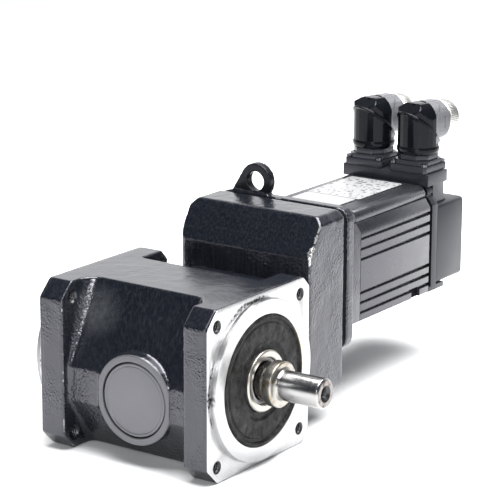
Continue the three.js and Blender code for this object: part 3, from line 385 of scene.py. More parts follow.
def casting(name, node, voxel, passes, depth, seed, clip=None, patches=(), extras=()):
    """A CAD node as cast: rounded, wavy by depth, and with its paint worn or chipped."""
    obj = solid_copy(name, node, dissolve=False)
    if clip:
        combine(obj, block("clip", *clip), "INTERSECT")
    melt(obj, extras, voxel, passes)
    roughen(obj.data, depth, seed)
    edge_wear(obj.data, 0.07 * MM, patches)
    obj.data.shade_smooth()
    return obj


# -------------------- node helpers

def wire(item, inputs):
    """Gives each named input of a node a fixed value or a link from another node."""
    for key, value in inputs.items():
        socket = item.inputs[key]
        if isinstance(value, bpy.types.NodeSocket):
            item.id_data.links.new(value, socket)
        else:
            socket.default_value = (*value, 1) if socket.type == "RGBA" else value


def add(tree, kind, inputs=None, **settings):
    item = tree.nodes.new(kind)
    for key, value in settings.items():
        setattr(item, key, value)
    wire(item, inputs or {})
    return item


def math_node(operation, first, second=0.0):
    inputs = {0: first, 1: second}
    return add(first.id_data, "ShaderNodeMath", inputs, operation=operation).outputs[0]


def times(first, second):
    return math_node("MULTIPLY", first, second)


def stretch(value, low, high, to_low=0.0, to_high=1.0):
    """Maps low..high to to_low..to_high, held at both ends."""
    inputs = {
        "Value": value,
        "From Min": low,
        "From Max": high,
        "To Min": to_low,
        "To Max": to_high,
    }
    return add(value.id_data, "ShaderNodeMapRange", inputs).outputs["Result"]


def mix_colour(factor, first, second):
    """first where the factor is 0, second where it is 1."""
    item = add(factor.id_data, "ShaderNodeMix", data_type="RGBA")
    wire(item, {0: factor, 6: first, 7: second})
    return item.outputs[2]


def object_coordinates(tree, scale=(1, 1, 1)):
    place = add(tree, "ShaderNodeTexCoord").outputs["Object"]
    return add(tree, "ShaderNodeMapping", {"Vector": place, "Scale": scale}).outputs["Vector"]


def separate(tree, vector=None):
    """The X, Y and Z of a vector, or of the place on the part."""
    return add(tree, "ShaderNodeSeparateXYZ", {0: vector or object_coordinates(tree)}).outputs


def varied(value, low, high):
    """Turns a cloudy noise into values from low to high."""
    return stretch(value, 0.3, 0.7, low, high)


def noise_over(vector, scale, detail, roughness=0.5):
    """Cloudy noise from 0 to 1 over any coordinates."""
    inputs = {"Vector": vector, "Scale": scale, "Detail": detail, "Roughness": roughness}
    return add(vector.id_data, "ShaderNodeTexNoise", inputs).outputs["Fac"]


def noise_value(tree, size, detail=3.0, scale=(1, 1, 1), roughness=0.5):
    """Cloudy noise on the part, with features of about this size in millimetres."""
    return noise_over(object_coordinates(tree, scale), 1 / (size * MM), detail, roughness)


def bump(height, depth, before=None):
    """The surface's normal over relief of this depth in millimetres."""
    inputs = {"Height": height, "Distance": depth * MM, "Strength": 1.0}
    if before:
        inputs["Normal"] = before
    return add(height.id_data, "ShaderNodeBump", inputs).outputs["Normal"]


def surface(made, **values):
    """Sets or links sockets of a material's shader; _ stands for a space in a socket's name."""
    shader = made.node_tree.nodes["Principled BSDF"]
    wire(shader, {key.replace("_", " "): value for key, value in values.items()})
    return made


def material(name, **fixed):
    """A new material with fixed values on its shader, and its node tree."""
    made = bpy.data.materials.new(name)
    made.use_nodes = True
    return surface(made, **fixed), made.node_tree


def scaled(tone, factor):
    return tuple(part * factor for part in tone)


def grey(level):
    return (level, level, level)


# -------------------- materials

BARE_METAL = (0.72, 0.71, 0.69)
PAINT_TINT = (0.93, 0.912, 1.0)
DUST = (0.45, 0.47, 0.5)
# Paler colour of a painted sheen: stands in for a reflection on black paint.
PAINTED_SHEEN = (0.05, 0.053, 0.058)
FLECK_PITCH = 2.6              # this and the next three in millimetres
BRUSH_MARK = 1.3
GRAIN = 1.7
LUMP = 5


def flecks(tree, share):
    """Small scattered specks, on this share of a grid's cells: 1 on a speck, 0 elsewhere."""
    inputs = {"Vector": object_coordinates(tree), "Scale": 1 / (FLECK_PITCH * MM)}
    cells = add(tree, "ShaderNodeTexVoronoi", inputs)
    chosen = math_node("GREATER_THAN", cells.outputs["Color"], 1 - share)
    return times(chosen, stretch(cells.outputs["Distance"], 0.10, 0.22, 1.0, 0.0))


def near_place(tree, centre, core, reach):
    """1 within core millimetres of a place on the part, falling to 0 at reach."""
    ends = {0: object_coordinates(tree), 1: scaled(centre, MM)}
    away = add(tree, "ShaderNodeVectorMath", ends, operation="DISTANCE").outputs["Value"]
    return stretch(away, core * MM, reach * MM, 1.0, 0.0)


def walls(tree):
    """1 on upright and overhanging faces, falling to 0.3 on slopes and tops."""
    normal = add(tree, "ShaderNodeNewGeometry").outputs["True Normal"]
    return stretch(separate(tree, normal)["Z"], 0.2, 0.36, 1.0, 0.3)


def enamel(name, base, shine, grain, lumps=0.0, streaks=0.0, specks=0.02, ior=1.6, sheen_place=None):
    """Black paint over a casting or an extrusion, with specks of dust and bare worn edges.
    grain and lumps are relief in millimetres; the grain comes and goes in patches. streaks is
    how much paler the upright brush marks are. The last argument, (centre, core, reach), places
    a painted sheen: a paler patch that stands in for a reflection."""
    made, tree = material(name, IOR=ior, Specular_Tint=PAINT_TINT)
    paint = mix_colour(noise_value(tree, 30, 4), base, scaled(base, 1.5))
    if streaks:
        marks = noise_value(tree, BRUSH_MARK, 3, scale=(1, 1, 0.02))
        paler = tuple(part + streaks for part in base)
        paint = mix_colour(stretch(marks, 0.45, 0.7), paint, paler)
    # Painted sheen: a paler patch that stands in for the reflection off a curved place.
    if sheen_place:
        sheen_patch = times(near_place(tree, *sheen_place), noise_value(tree, 4, 6))
        paint = mix_colour(sheen_patch, paint, PAINTED_SHEEN)
    paint = mix_colour(times(flecks(tree, specks), 0.7), paint, DUST)
    patch = stretch(noise_value(tree, 26, 2), 0.42, 0.62, 0.25, 1.0)
    skin = times(noise_value(tree, GRAIN, 2), times(patch, walls(tree)))
    normal = bump(skin, grain)
    if lumps:
        normal = bump(noise_value(tree, LUMP, 3), lumps, normal)
    wear = add(tree, "ShaderNodeAttribute", attribute_name="wear").outputs["Fac"]
    return surface(
        made,
        Base_Color=mix_colour(wear, paint, BARE_METAL),
        Metallic=wear,
        Roughness=varied(noise_value(tree, 14, 5), shine, shine + 0.06),
        Normal=normal,
    )


def polar(tree):
    """Distance from the output axis in metres and the angle round it in radians."""
    place = separate(tree)
    across = place["Y"]
    up = math_node("SUBTRACT", place["Z"], AXIS_HEIGHT)
    square = math_node("ADD", times(across, across), times(up, up))
    return math_node("SQRT", square), math_node("ARCTAN2", up, across)


def ring_noise(distance, pitch):
    """Noise that depends on the distance only: turning marks at a pitch in millimetres."""
    along = add(distance.id_data, "ShaderNodeCombineXYZ", {"X": distance})
    return noise_over(along.outputs[0], 1 / (pitch * MM), 2.0)


def window(value, middle, half):
    """1 at the middle, falling to 0 at half on either side."""
    away = math_node("ABSOLUTE", math_node("SUBTRACT", value, middle))
    return stretch(away, 0.0, half, 1.0, 0.0)


# Darker arcs round the spigot: middle angle, half angle, radius, half width.
DARK_ARCS = (
    (1.98, 0.34, 56.0 * MM, 2.6 * MM),
    (1.62, 0.3, 54.9 * MM, 1.6 * MM),
    (2.86, 0.26, 55.4 * MM, 1.6 * MM),
    (3.12, 0.2, 55.6 * MM, 2.6 * MM),
    (3.4, 0.12, 55.0 * MM, 1.0 * MM),
)


def machined_face():
    """Faced flange: bright, with turning arcs and darker arcs near the spigot."""
    made, tree = material("machined_face", Metallic=1.0)
    distance, angle = polar(tree)
    angle = math_node("MODULO", math_node("ADD", angle, 2 * pi), 2 * pi)
    dark_arcs = None
    for middle, half, radius, width in DARK_ARCS:
        dark_arc = times(window(angle, middle, half), window(distance, radius, width))
        dark_arcs = math_node("MAXIMUM", dark_arcs, dark_arc) if dark_arcs else dark_arc
    solid_part = stretch(dark_arcs, 0.1, 0.45)
    broken = stretch(noise_value(tree, 2.2, 6), 0.44, 0.56)
    bright, dull = (0.58, 0.58, 0.575), (0.4, 0.4, 0.41)
    clean = mix_colour(noise_value(tree, 22, 4), bright, dull)
    softly_darkened = mix_colour(times(solid_part, 0.45), clean, (0.17, 0.17, 0.175))
    arcs_darkened = mix_colour(times(solid_part, broken), softly_darkened, (0.03, 0.03, 0.035))
    return surface(
        made,
        Base_Color=arcs_darkened,
        Roughness=varied(ring_noise(distance, 1.3), 0.24, 0.4),
        Normal=bump(ring_noise(distance, 0.35), 0.02),
    )


def turned_metal(name, tone, shine, axis, pitch=0.4, stain=None, relief=0.008):
    """Turned or ground metal with fine rings along its axis, a cloudy bloom and any stain.
    pitch and relief are in millimetres."""
    made, tree = material(name, Metallic=1.0)
    rings = ring_noise(separate(tree)[axis], pitch)
    tint = mix_colour(noise_value(tree, 9, 4), tone, scaled(tone, 0.82))
    if stain:
        spots = stretch(noise_value(tree, 4, 6), 0.52, 0.66)
        tint = mix_colour(spots, tint, stain)
    return surface(
        made,
        Base_Color=tint,
        Roughness=varied(rings, shine, shine + 0.12),
        Normal=bump(rings, relief),
    )


def seal_rubber():
    """Moulded seal face: matt, with radial creases darkened by painted shade, a worn bloom and old
    grease.
    """
    made, tree = material("seal_rubber", IOR=1.18)
    distance, angle = polar(tree)
    spokes = add(tree, "ShaderNodeCombineXYZ", {"X": times(angle, 5.0), "Y": 4.0})
    creases = noise_over(spokes.outputs[0], 1.0, 4.0)
    wander = times(noise_value(tree, 14, 2), 0.35)
    lines = window(math_node("ADD", creases, wander), 0.68, 0.012)
    bloom = stretch(noise_value(tree, 7, 7, roughness=0.65), 0.42, 0.66)
    tone = mix_colour(bloom, (0.008, 0.008, 0.0085), (0.031, 0.03, 0.03))
    # Painted shade: the crease lines are darkened.
    tone = mix_colour(times(lines, 0.8), tone, grey(0.006))
    grease = times(window(angle, 0.1, 0.8), window(distance, SEAL_RADIUS, 1.8 * MM))
    tone = mix_colour(stretch(grease, 0.1, 0.5), tone, (0.42, 0.3, 0.1))
    normal = bump(times(lines, -1.0), 0.3)
    return surface(
        made,
        Base_Color=tone,
        Roughness=varied(noise_value(tree, 5, 5), 0.3, 0.55),
        Normal=bump(noise_value(tree, 9, 5), 1.1, normal),
    )


def plain_rubber():
    made, tree = material("plain_rubber", IOR=1.5)
    cloud = noise_value(tree, 5, 4)
    return surface(
        made,
        Base_Color=mix_colour(cloud, (0.012, 0.012, 0.013), grey(0.03)),
        Roughness=varied(noise_value(tree, 2), 0.5, 0.7),
        Normal=bump(noise_value(tree, 0.8), 0.03),
    )


LINE_PITCH = 4.4 * MM          # between rows of dashes on a label
DASH = 3.1 * MM
ROW_SHIFT = 7.3                # moves each row to another part of the noise


def label_film():
    """White film; the rear label has rows of short grey dashes in place of print."""
    made, tree = material("label_film", IOR=1.3)
    place = separate(tree)
    row = math_node("DIVIDE", place["Y"], LINE_PITCH)
    line = stretch(window(math_node("FRACT", row), 0.5, 0.4), 0.2, 0.5)
    step = add(tree, "ShaderNodeCombineXYZ", {
        "X": math_node("DIVIDE", place["X"], DASH),
        "Y": times(math_node("FLOOR", row), ROW_SHIFT),
    })
    dashes = noise_over(step.outputs[0], 1.0, 1.0)
    rear_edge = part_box("rating_label_rear")[0].y
    printed = times(math_node("GREATER_THAN", place["Y"], rear_edge), 0.8)
    ink = times(times(stretch(dashes, 0.53, 0.57), line), printed)
    white, shaded = (0.29, 0.29, 0.295), (0.26, 0.26, 0.265)
    paper = mix_colour(noise_value(tree, 12), white, shaded)
    return surface(
        made,
        Base_Color=mix_colour(ink, paper, (0.025, 0.025, 0.028)),
        Roughness=varied(noise_value(tree, 8), 0.3, 0.45),
    )


def patterned(made, pattern, dark, pale, shine, relief):
    """Finishes a material whose colour, roughness and relief follow one pattern."""
    return surface(
        made,
        Base_Color=mix_colour(pattern, dark, pale),
        Roughness=varied(pattern, *shine),
        Normal=bump(pattern, relief),
    )


def winding_copper():
    made, tree = material("winding_copper", Metallic=1.0)
    strands = noise_value(tree, 0.8, 2, scale=(1, 0.1, 1))
    return patterned(made, strands, (0.55, 0.22, 0.07), (0.78, 0.4, 0.16), (0.25, 0.45), 0.1)


def core_sheets():
    made, tree = material("core_sheets", Metallic=1.0)
    sheets = ring_noise(separate(tree)["Y"], 0.5)
    return patterned(made, sheets, (0.12, 0.12, 0.13), (0.3, 0.3, 0.31), (0.35, 0.6), 0.05)


# Cast paint, with a painted sheen beside the left front fillet, where the curved casting catches the
# light.
CAST_BLACK = enamel(
    "cast_black", (0.004, 0.005, 0.0075), 0.16, 0.9, 0.015, 0.01, 0.04, ior=1.64,
    sheen_place=((-35, -37, 95), 5, 20),
)
LUG_BLACK = enamel("lug_black", (0.004, 0.0045, 0.006), 0.24, 0.12, ior=1.3)
CAP_BLACK = enamel("cap_black", (0.068, 0.068, 0.073), 0.36, 0.05, specks=0.03)
BOSS_BLACK = enamel("boss_black", (0.05, 0.05, 0.053), 0.3, 0.05, ior=1.65)
MOTOR_BLACK = enamel("motor_black", (0.013, 0.0135, 0.0155), 0.25, 0.05, specks=0.01, ior=1.76)
BELL_BLACK = enamel("bell_black", (0.008, 0.009, 0.011), 0.27, 0.7, ior=1.72)
COVER_BLACK = enamel("cover_black", (0.011, 0.012, 0.014), 0.34, 0.04, specks=0.01, ior=1.46)
HEAD_BLACK = enamel("head_black", (0.003, 0.0035, 0.0045), 0.08, 0.02, 0.05, specks=0.01, ior=1.24)
# Paler black for the connector outlets: painted light that stands in for their lit top.
TUBE_PAINTED_LIGHT = enamel("tube_painted_light", (0.075, 0.076, 0.08), 0.34, 0.05, specks=0.01)
DECK_BLACK = enamel("deck_black", (0.013, 0.014, 0.018), 0.26, 0.04, specks=0.03, ior=1.42)
# Near-black with hardly any gloss: painted shade. It colours the stator's notch faces and the rear bell's
# lip as shade, and gives the black gasket and cap ring the depth of the shade in their joints.
PAINTED_SHADE_BLACK = enamel("painted_shade_black", (0.004, 0.004, 0.005), 0.7, 0.05, specks=0.0, ior=1.12)
BLACK_PLASTIC = enamel("black_plastic", (0.02, 0.02, 0.021), 0.4, 0.02, specks=0.0, ior=1.5)
MACHINED = machined_face()
COVER_METAL = turned_metal("cover_metal", (0.33, 0.33, 0.34), 0.42, "X", 0.9)
SHAFT_METAL = turned_metal("shaft_metal", (0.4, 0.395, 0.39), 0.16, "X", 1.1, relief=0.002)
END_METAL = turned_metal("end_metal", (0.27, 0.26, 0.25), 0.3, "X", 0.5, stain=(0.1, 0.06, 0.045))
# Near-black metal for tapped holes: painted shade inside the holes.
THREAD_PAINTED_SHADE = turned_metal("thread_painted_shade", (0.07, 0.07, 0.073), 0.3, "X", 0.6)
LIP_METAL = turned_metal("lip_metal", (0.34, 0.33, 0.33), 0.24, "X", 0.6)
SLEEVE_METAL = turned_metal("sleeve_metal", (0.44, 0.42, 0.385), 0.24, "X", 0.5)
GREASY_METAL = turned_metal("greasy_metal", (0.38, 0.365, 0.335), 0.24, "X", 0.5, stain=(0.25, 0.2, 0.13))
GEAR_METAL = turned_metal("gear_metal", (0.5, 0.5, 0.52), 0.3, "X", 0.6)
BEARING_METAL = turned_metal("bearing_metal", (0.75, 0.76, 0.78), 0.16, "Y", 0.3)
SCREW_METAL = turned_metal("screw_metal", (0.1, 0.1, 0.11), 0.35, "Y", 0.3)
BRIGHT_SCREW = turned_metal("bright_screw", (0.12, 0.12, 0.13), 0.22, "Z", 0.3)
NICKEL = turned_metal("nickel", (0.66, 0.66, 0.62), 0.24, "Y", 0.8)

SEAL_RUBBER = seal_rubber()
LABEL_FILM = label_film()

SLOT_LOOKS = {
    "black_paint": CAST_BLACK,
    "motor_paint": MOTOR_BLACK,
    "bare_aluminium": COVER_METAL,
    "ground_steel": SHAFT_METAL,
    "gear_steel": GEAR_METAL,
    "bearing_steel": BEARING_METAL,
    "dark_rubber": plain_rubber(),
    "label_film": LABEL_FILM,
    "copper_wire": winding_copper(),
    "core_steel": core_sheets(),
    "screw_steel": SCREW_METAL,
    "nickel_plate": NICKEL,
    "black_plastic": BLACK_PLASTIC,
}
SLOTS = {row["node"]: row["material_slot"] for row in frame["record"]["subparts"]}


def paint_cad_nodes():
    """Every CAD node gets its slot's material; those replaced later are hidden anyway."""
    for node, slot in SLOTS.items():
        obj = frame["nodes"][node]
        obj.data.materials.clear()
        obj.data.materials.append(SLOT_LOOKS[slot])


def settle(obj, looks, node, body="housing"):
    """Gives a finished piece its materials and its body, and hides its node."""
    for look in looks if isinstance(looks, list) else [looks]:
        obj.data.materials.append(look)
    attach(obj, body)
    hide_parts(node)


def paint_faces(obj, index, chosen):
    """Gives another of the piece's materials to the faces that are chosen."""
    for face in obj.data.polygons:
        if chosen(face):
            face.material_index = index


def shifted(origin, *offsets):
    """Outline points at offsets in millimetres from an origin in metres."""
    return [(origin[0] + a * MM, origin[1] + b * MM) for a, b in offsets]


def band(inner, outer, start, end):
    """Profile of a plain ring between two radii and two stations."""
    return [(inner, start), (outer, start), (outer, end), (inner, end)]


# -------------------- gear case

PLATE_DEPTH = 3 * MM           # skin of each machined flange face
FLANGE_DEPTH = 19 * MM
THREAD_PITCH = 1.5 * MM
BOSS_RADIUS = 30.3 * MM
BOSS_BORE = 25.7 * MM
BOSS_FLAT = 28.6 * MM
CASE_BOSS_FACE = -53 * MM


def flange_outline(inset):
    """One flange's outline, drawn in by the inset, as (Y, Z)."""
    near = -FLANGE_HALF + inset
    far = FLANGE_HALF - inset
    top = 2 * FLANGE_HALF - inset
    corners = [
        (near + NEAR_CHAMFER, inset),
        (far - FAR_CHAMFER, inset),
        (far, inset + FAR_CHAMFER),
        (far, top - FAR_CHAMFER),
        (far - FAR_CHAMFER, top),
        (near + NEAR_CHAMFER, top),
        (near, top - NEAR_CHAMFER),
        (near, inset + NEAR_CHAMFER),
    ]
    return softened(corners, 1.6 * MM, closed=True, steps=4)


def flange_plate(name, side):
    """Machined skin of one flange, with its holes."""
    holes = [circle(y, AXIS_HEIGHT + z, BOLT_RADIUS + 0.2 * MM) for y, z in BOLT_PLACES]
    holes.append(circle(0, AXIS_HEIGHT, SPIGOT_RADIUS - 3 * MM, 96))
    ends = sorted((side * FLANGE_FACE, side * (FLANGE_FACE - PLATE_DEPTH)))
    plate = prism(name, "X", [flange_outline(LIFT)] + holes, ends[0], ends[1], 0.25 * MM)
    paint_faces(plate, 1, lambda face: face.normal.x * side > 0.3)
    shade(plate)
    settle(plate, [CAST_BLACK, MACHINED], "gear_case")


def spigot(name, side):
    """Round step that stands on one flange's face."""
    root = side * (FLANGE_FACE - 2 * MM)
    outer = side * (FLANGE_FACE + SPIGOT_HEIGHT)
    loop = band(SEAL_RADIUS + GAP, SPIGOT_RADIUS, root, outer)
    ring = turned(name, "X", OUTPUT_AXIS, loop, 0.5 * MM)
    settle(shade(ring), MACHINED, "gear_case")


def boss_ring():
    """Smooth rim of the access boss, cut off at the flats on its left and right."""
    face = CASE_BOSS_FACE - LIFT
    bore, rim_edge = (BOSS_BORE, face), (BOSS_RADIUS, face)
    loop = shifted(bore, (0, 3), (0, 0.2), (0.3, 0)) + shifted(rim_edge, (-0.5, 0), (0, 0.5), (0, 3))
    rim = turned("boss_rim", "Y", CAP_AXIS, loop, 0.3 * MM)
    low = (CAP_CENTRE.x - BOSS_FLAT, face - MM, CAP_CENTRE.z - BOSS_RADIUS - MM)
    high = (CAP_CENTRE.x + BOSS_FLAT, face + 4 * MM, CAP_CENTRE.z + BOSS_RADIUS + MM)
    combine(rim, block("flats", low, high), "INTERSECT")
    settle(shade(rim), BOSS_BLACK, "gear_case")


def threaded_hole(name, side, y, z):
    """Tapped wall of one flange hole, darkened with painted shade."""
    start = FLANGE_FACE - FLANGE_DEPTH + 0.8 * MM
    end = FLANGE_FACE - 0.1 * MM
    outer = BOLT_RADIUS + 0.45 * MM
    root = BOLT_RADIUS - 0.1 * MM
    crest = BOLT_RADIUS - 0.7 * MM
    profile = [(outer, side * start), (outer, side * end), (root + 0.2 * MM, side * end)]
    for turn in range(int((end - start) / THREAD_PITCH)):
        station = end - (turn + 0.5) * THREAD_PITCH
        profile += [(crest, side * station), (root, side * (station - 0.5 * THREAD_PITCH))]
    wall = turned(name, "X", (0, y, AXIS_HEIGHT + z), profile, 0.05 * MM, 40)
    settle(shade(wall), THREAD_PAINTED_SHADE, "gear_case")


# Front of the case between its flanges, from its top to its bottom, as (Y, Z); and the radius
# of the fillet that runs along it at either flange.
FRONT_LINE = shifted((0, 0), (-28, 115), (-41, 83.9), (-51.8, 58), (-51.8, 35.5), (-28, 0))
FRONT_FILLETS = (11 * MM, 8 * MM, 3 * MM, 2.5 * MM, 4 * MM)


def front_fillet(side):
    """Hollow fillet that runs down the front, in the corner with one flange's inner face."""
    line = [Vector(p) for p in FRONT_LINE]
    slopes = [(low - high).normalized() for high, low in zip(line, line[1:])]
    normals = [Vector((slope.y, -slope.x)) for slope in slopes]
    outward = [Vector((1 / normals[0].x, 0))]
    for first, second in zip(normals, normals[1:]):
        outward.append((first + second) / (1 + first.dot(second)))
    outward.append(Vector((1 / normals[-1].x, 0)))
    face = side * (FLANGE_FACE - FLANGE_DEPTH)
    root = -MM                 # how far the fillet reaches into the case and the flange
    shape = bmesh.new()
    rings = []
    for place, away, radius in zip(line, outward, FRONT_FILLETS):
        hollow = arc(radius, radius, radius, 270, 180, 10)
        section = [(root, root), (radius, root)] + hollow + [(root, radius)]
        rings.append([
            shape.verts.new((face - side * across, place.x + away.x * out, place.y + away.y * out))
            for across, out in section
        ])
    for upper, lower in zip(rings, rings[1:]):
        for k in range(len(upper)):
            following = (k + 1) % len(upper)
            shape.faces.new((upper[k], upper[following], lower[following], lower[k]))
    shape.faces.new(rings[0])
    shape.faces.new(rings[-1])
    bmesh.ops.triangulate(shape, faces=shape.faces)
    return object_from("fillet", shape)


def gear_case():
    reach = FLANGE_FACE - 0.6 * MM
    clip = ((-reach, CASE_LOW.y - MM, -MM), (reach, CASE_HIGH.y + MM, CASE_HIGH.z + MM))
    fillets = [front_fillet(side) for side in (1, -1)]
    body = casting("case_casting", "gear_case", 0.95 * MM, 7, 0.05 * MM, 3.1, clip, extras=fillets)
    settle(body, CAST_BLACK, "gear_case")
    for side, word in ((1, "right"), (-1, "left")):
        flange_plate(f"flange_face_{word}", side)
        spigot(f"spigot_{word}", side)
        for number, (y, z) in enumerate(BOLT_PLACES, 1):
            threaded_hole(f"flange_thread_{word}_{number}", side, y, z)
    boss_ring()


def access_cap():
    """Pressed cap with a raised rim round a shallow dish, and its soft ring."""
    rim = (CAP_RADIUS, CAP_LOW.y)
    dish = shifted((0, CAP_LOW.y), (0, 0.35))
    dish += shifted(rim, (-2.6, 0.35), (-2.2, 0.6), (-1.6, 0), (-0.5, 0), (0, 0.6))
    dish += [(CAP_RADIUS, CAP_HIGH.y), (0, CAP_HIGH.y)]
    disc = turned("cap_disc", "Y", CAP_AXIS, dish, 0.5 * MM)
    settle(shade(disc), CAP_BLACK, "access_cap")
    low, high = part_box("access_cap_ring")
    loop = band(CAP_RADIUS + 0.1 * MM, (high.x - low.x) / 2, low.y, high.y)
    # The cap's ring takes the near-black of painted shade, as the dark groove round the cap.
    ring = turned("cap_seal", "Y", CAP_AXIS, loop, 0.4 * MM)
    settle(shade(ring), PAINTED_SHADE_BLACK, "access_cap_ring")


def end_cover():
    """Stepped cover of the closed side, with a shallow dimple in its middle."""
    low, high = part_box("end_cover")
    lip = -FLANGE_FACE - SPIGOT_HEIGHT - GAP
    profile = shifted((0, low.x), (0, 0.5), (12, 0.5), (12.6, 0), (38, 0), (40, 2), (40, 8), (47.6, 8))
    profile += [
        (high.y, low.x + 9.8 * MM),
        (high.y, lip),
        (SEAL_RADIUS, lip),
        (SEAL_RADIUS, high.x),
        (0, high.x),
    ]
    cover = turned("end_cover_shell", "X", OUTPUT_AXIS, profile, 0.6 * MM)
    settle(shade(cover), COVER_METAL, "end_cover")


def oil_seal():
    """Rubber face of the shaft seal: a rim, a flat web and a lip that hugs the sleeve."""
    face = FLANGE_FACE + SPIGOT_HEIGHT
    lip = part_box("output_sleeve")[1].y + GAP
    rim = SEAL_RADIUS
    profile = [(lip, SEAL_LOW.x), (rim, SEAL_LOW.x)]
    profile += shifted(
        (rim, face), (0, 0.4), (-1.6, 0.9), (-2.6, 0.5), (-3.0, -0.5), (-5.2, -0.6), (-5.6, -0.1)
    )
    profile += shifted((lip, face), (6, -0.3), (4, -1.4), (1.6, -1.6), (0.2, -0.7), (0, -1.0))
    seal = turned("oil_seal_face", "X", OUTPUT_AXIS, profile, 0.5 * MM)
    settle(shade(seal, 50), SEAL_RUBBER, "output_oil_seal")


# -------------------- output shaft group

SLEEVE_BODY = 20 * MM          # radius behind the polished land that the seal runs on
SLEEVE_BORE = 12.8 * MM
SLEEVE_MOUTH = 15.75 * MM      # radius of the wider mouth of the bore
SLEEVE_STEP = 55 * MM          # where the land starts
MOUTH_FLOOR = 66 * MM


def output_sleeve():
    """Sleeve that the seal runs on, and the soft ring in its mouth round the shaft."""
    low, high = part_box("output_sleeve")
    land = high.y
    profile = [
        (SLEEVE_BORE, low.x),
        (SLEEVE_BODY, low.x),
        (SLEEVE_BODY, SLEEVE_STEP),
        (land, SLEEVE_STEP),
        *shifted((land, high.x), (0, -0.9), (-0.9, 0)),
        *shifted((SLEEVE_MOUTH, high.x), (0.6, 0), (0, -0.6)),
        (SLEEVE_MOUTH, MOUTH_FLOOR),
        (SLEEVE_BORE, MOUTH_FLOOR),
    ]
    sleeve = turned("sleeve_ring", "X", OUTPUT_AXIS, profile, 0.25 * MM)
    settle(shade(sleeve), SLEEVE_METAL, "output_sleeve", "output")
    low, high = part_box("output_sleeve_seal_ring")
    inner = 13.3 * MM
    loop = [(inner, low.x), (high.y, low.x)]
    loop += shifted((high.y, high.x), (0, -0.4), (-0.8, 0))
    loop += shifted((inner, high.x), (1.1, -1.2), (0, -0.3))
    ring = turned("sleeve_seal", "X", OUTPUT_AXIS, loop, 0.3 * MM)
    settle(shade(ring), LIP_METAL, "output_sleeve_seal_ring", "output")


SHAFT = 10 * MM                # radii of the shaft's end, its bearing seat and its tapped hole
JOURNAL = 12.5 * MM
TAPPED = 3.5 * MM
COLLAR_START = 79.4 * MM
COLLAR_END = 86.8 * MM


def output_shaft():
    """Shaft with a collar against the sleeve and a tapped centre hole in its end."""
    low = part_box("output_shaft")[0]
    end, collar = SHAFT_HIGH.x, SHAFT_HIGH.y
    profile = [(0, low.x), (JOURNAL, low.x), (JOURNAL, COLLAR_START - 0.2 * MM)]
    profile += shifted((collar, COLLAR_START), (-0.9, 0), (0, 0.9))
    profile += shifted((collar, COLLAR_END), (0, -0.8), (-0.8, 0))
    profile += shifted((SHAFT, COLLAR_END), (1.9, 0), (0.5, 0.6), (0, 2.2))
    profile += shifted((SHAFT, end), (0, -1.3), (-1.3, 0))
    profile += shifted((TAPPED, end), (2.2, 0), (0.2, -2))
    for turn in range(9):
        station = end - (2.6 + 1.1 * turn) * MM
        profile += shifted((TAPPED, station), (0, 0), (-0.4, -0.55))
    profile += [(TAPPED, end - 14 * MM), (0, end - 16 * MM)]
    piece = turned("shaft_body", "X", OUTPUT_AXIS, profile, 0.2 * MM)

    def in_hole(face):
        deep = face.center.x > end - 18 * MM
        return deep and (face.center - OUTPUT_AXIS).yz.length < SHAFT / 2

    greasy_end = COLLAR_END + 1.2 * MM
    paint_faces(piece, 1, lambda face: COLLAR_START - MM < face.center.x < greasy_end)
    # Painted shade: the tapped hole's wall is coloured near-black.
    paint_faces(piece, 3, in_hole)
    paint_faces(piece, 2, lambda face: face.center.x > end - 0.3 * MM)
    looks = [SHAFT_METAL, GREASY_METAL, END_METAL, THREAD_PAINTED_SHADE]
    settle(shade(piece), looks, "output_shaft", "output")


# -------------------- stage and adapter

LUG_START = 1.5 * MM           # over the stage, where the lug stands clear of the plate


def stage():
    """Offset stage, chipped up its right front edge; adapter plate with the lug; gasket."""
    foot = Vector((STAGE_HIGH.x - 0.5 * MM, STAGE_LOW.y + 0.6 * MM, STAGE_HIGH.z - 25.2 * MM))
    slope = Vector((0, 16 * MM, 25.5 * MM))
    patches = [
        (foot + slope * 0.3, foot + slope * 0.78, 0.6 * MM),
        (foot + slope * 0.06, foot + slope * 0.3, 1.7 * MM),
        (foot - Vector((0, 0, 4 * MM)), foot + slope * 0.06, 0.7 * MM),
    ]
    body = casting("stage_casting", "stage_housing", 0.95 * MM, 9, 0.14 * MM, 8.4, patches=patches)
    settle(body, CAST_BLACK, "stage_housing")
    plate = casting("adapter_casting", "motor_adapter_plate", 0.75 * MM, 5, 0.1 * MM, 5.2)
    paint_faces(plate, 1, lambda face: face.center.z > STAGE_HIGH.z + LUG_START)
    settle(plate, [CAST_BLACK, LUG_BLACK], "motor_adapter_plate")
    # The gasket takes the near-black of painted shade, as the dark joint between stage and plate.
    gasket = bevelled(solid_copy("gasket_sheet", "stage_gasket"), 0.4 * MM)
    settle(shade(gasket), PAINTED_SHADE_BLACK, "stage_gasket")


def socket_screw(name, node, axis, head_depth, look):
    """Screw with a hexagon socket, whose head is towards the far end of its axis."""
    low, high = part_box(node)
    centre = (low + high) / 2
    index = "XYZ".index(axis)
    head = (high - low)[(index + 1) % 3] / 2
    shank, hexagon = head * 0.57, head * 0.52
    bottom, top = low[index], high[index]
    seat, floor = top - head_depth, top - head_depth * 0.65
    centre[index] = 0
    profile = [(0, bottom), (shank, bottom), (shank, seat), (head, seat), (head, top), (0, top)]
    screw = turned(name, axis, centre, profile, 0.25 * MM, 32)
    hole = [(0, floor), (hexagon, floor), (hexagon, top + MM), (0, top + MM)]
    combine(screw, turned("socket", axis, centre, hole, 0.0, 6), "DIFFERENCE")
    settle(shade(screw), look, node)


# -------------------- motor

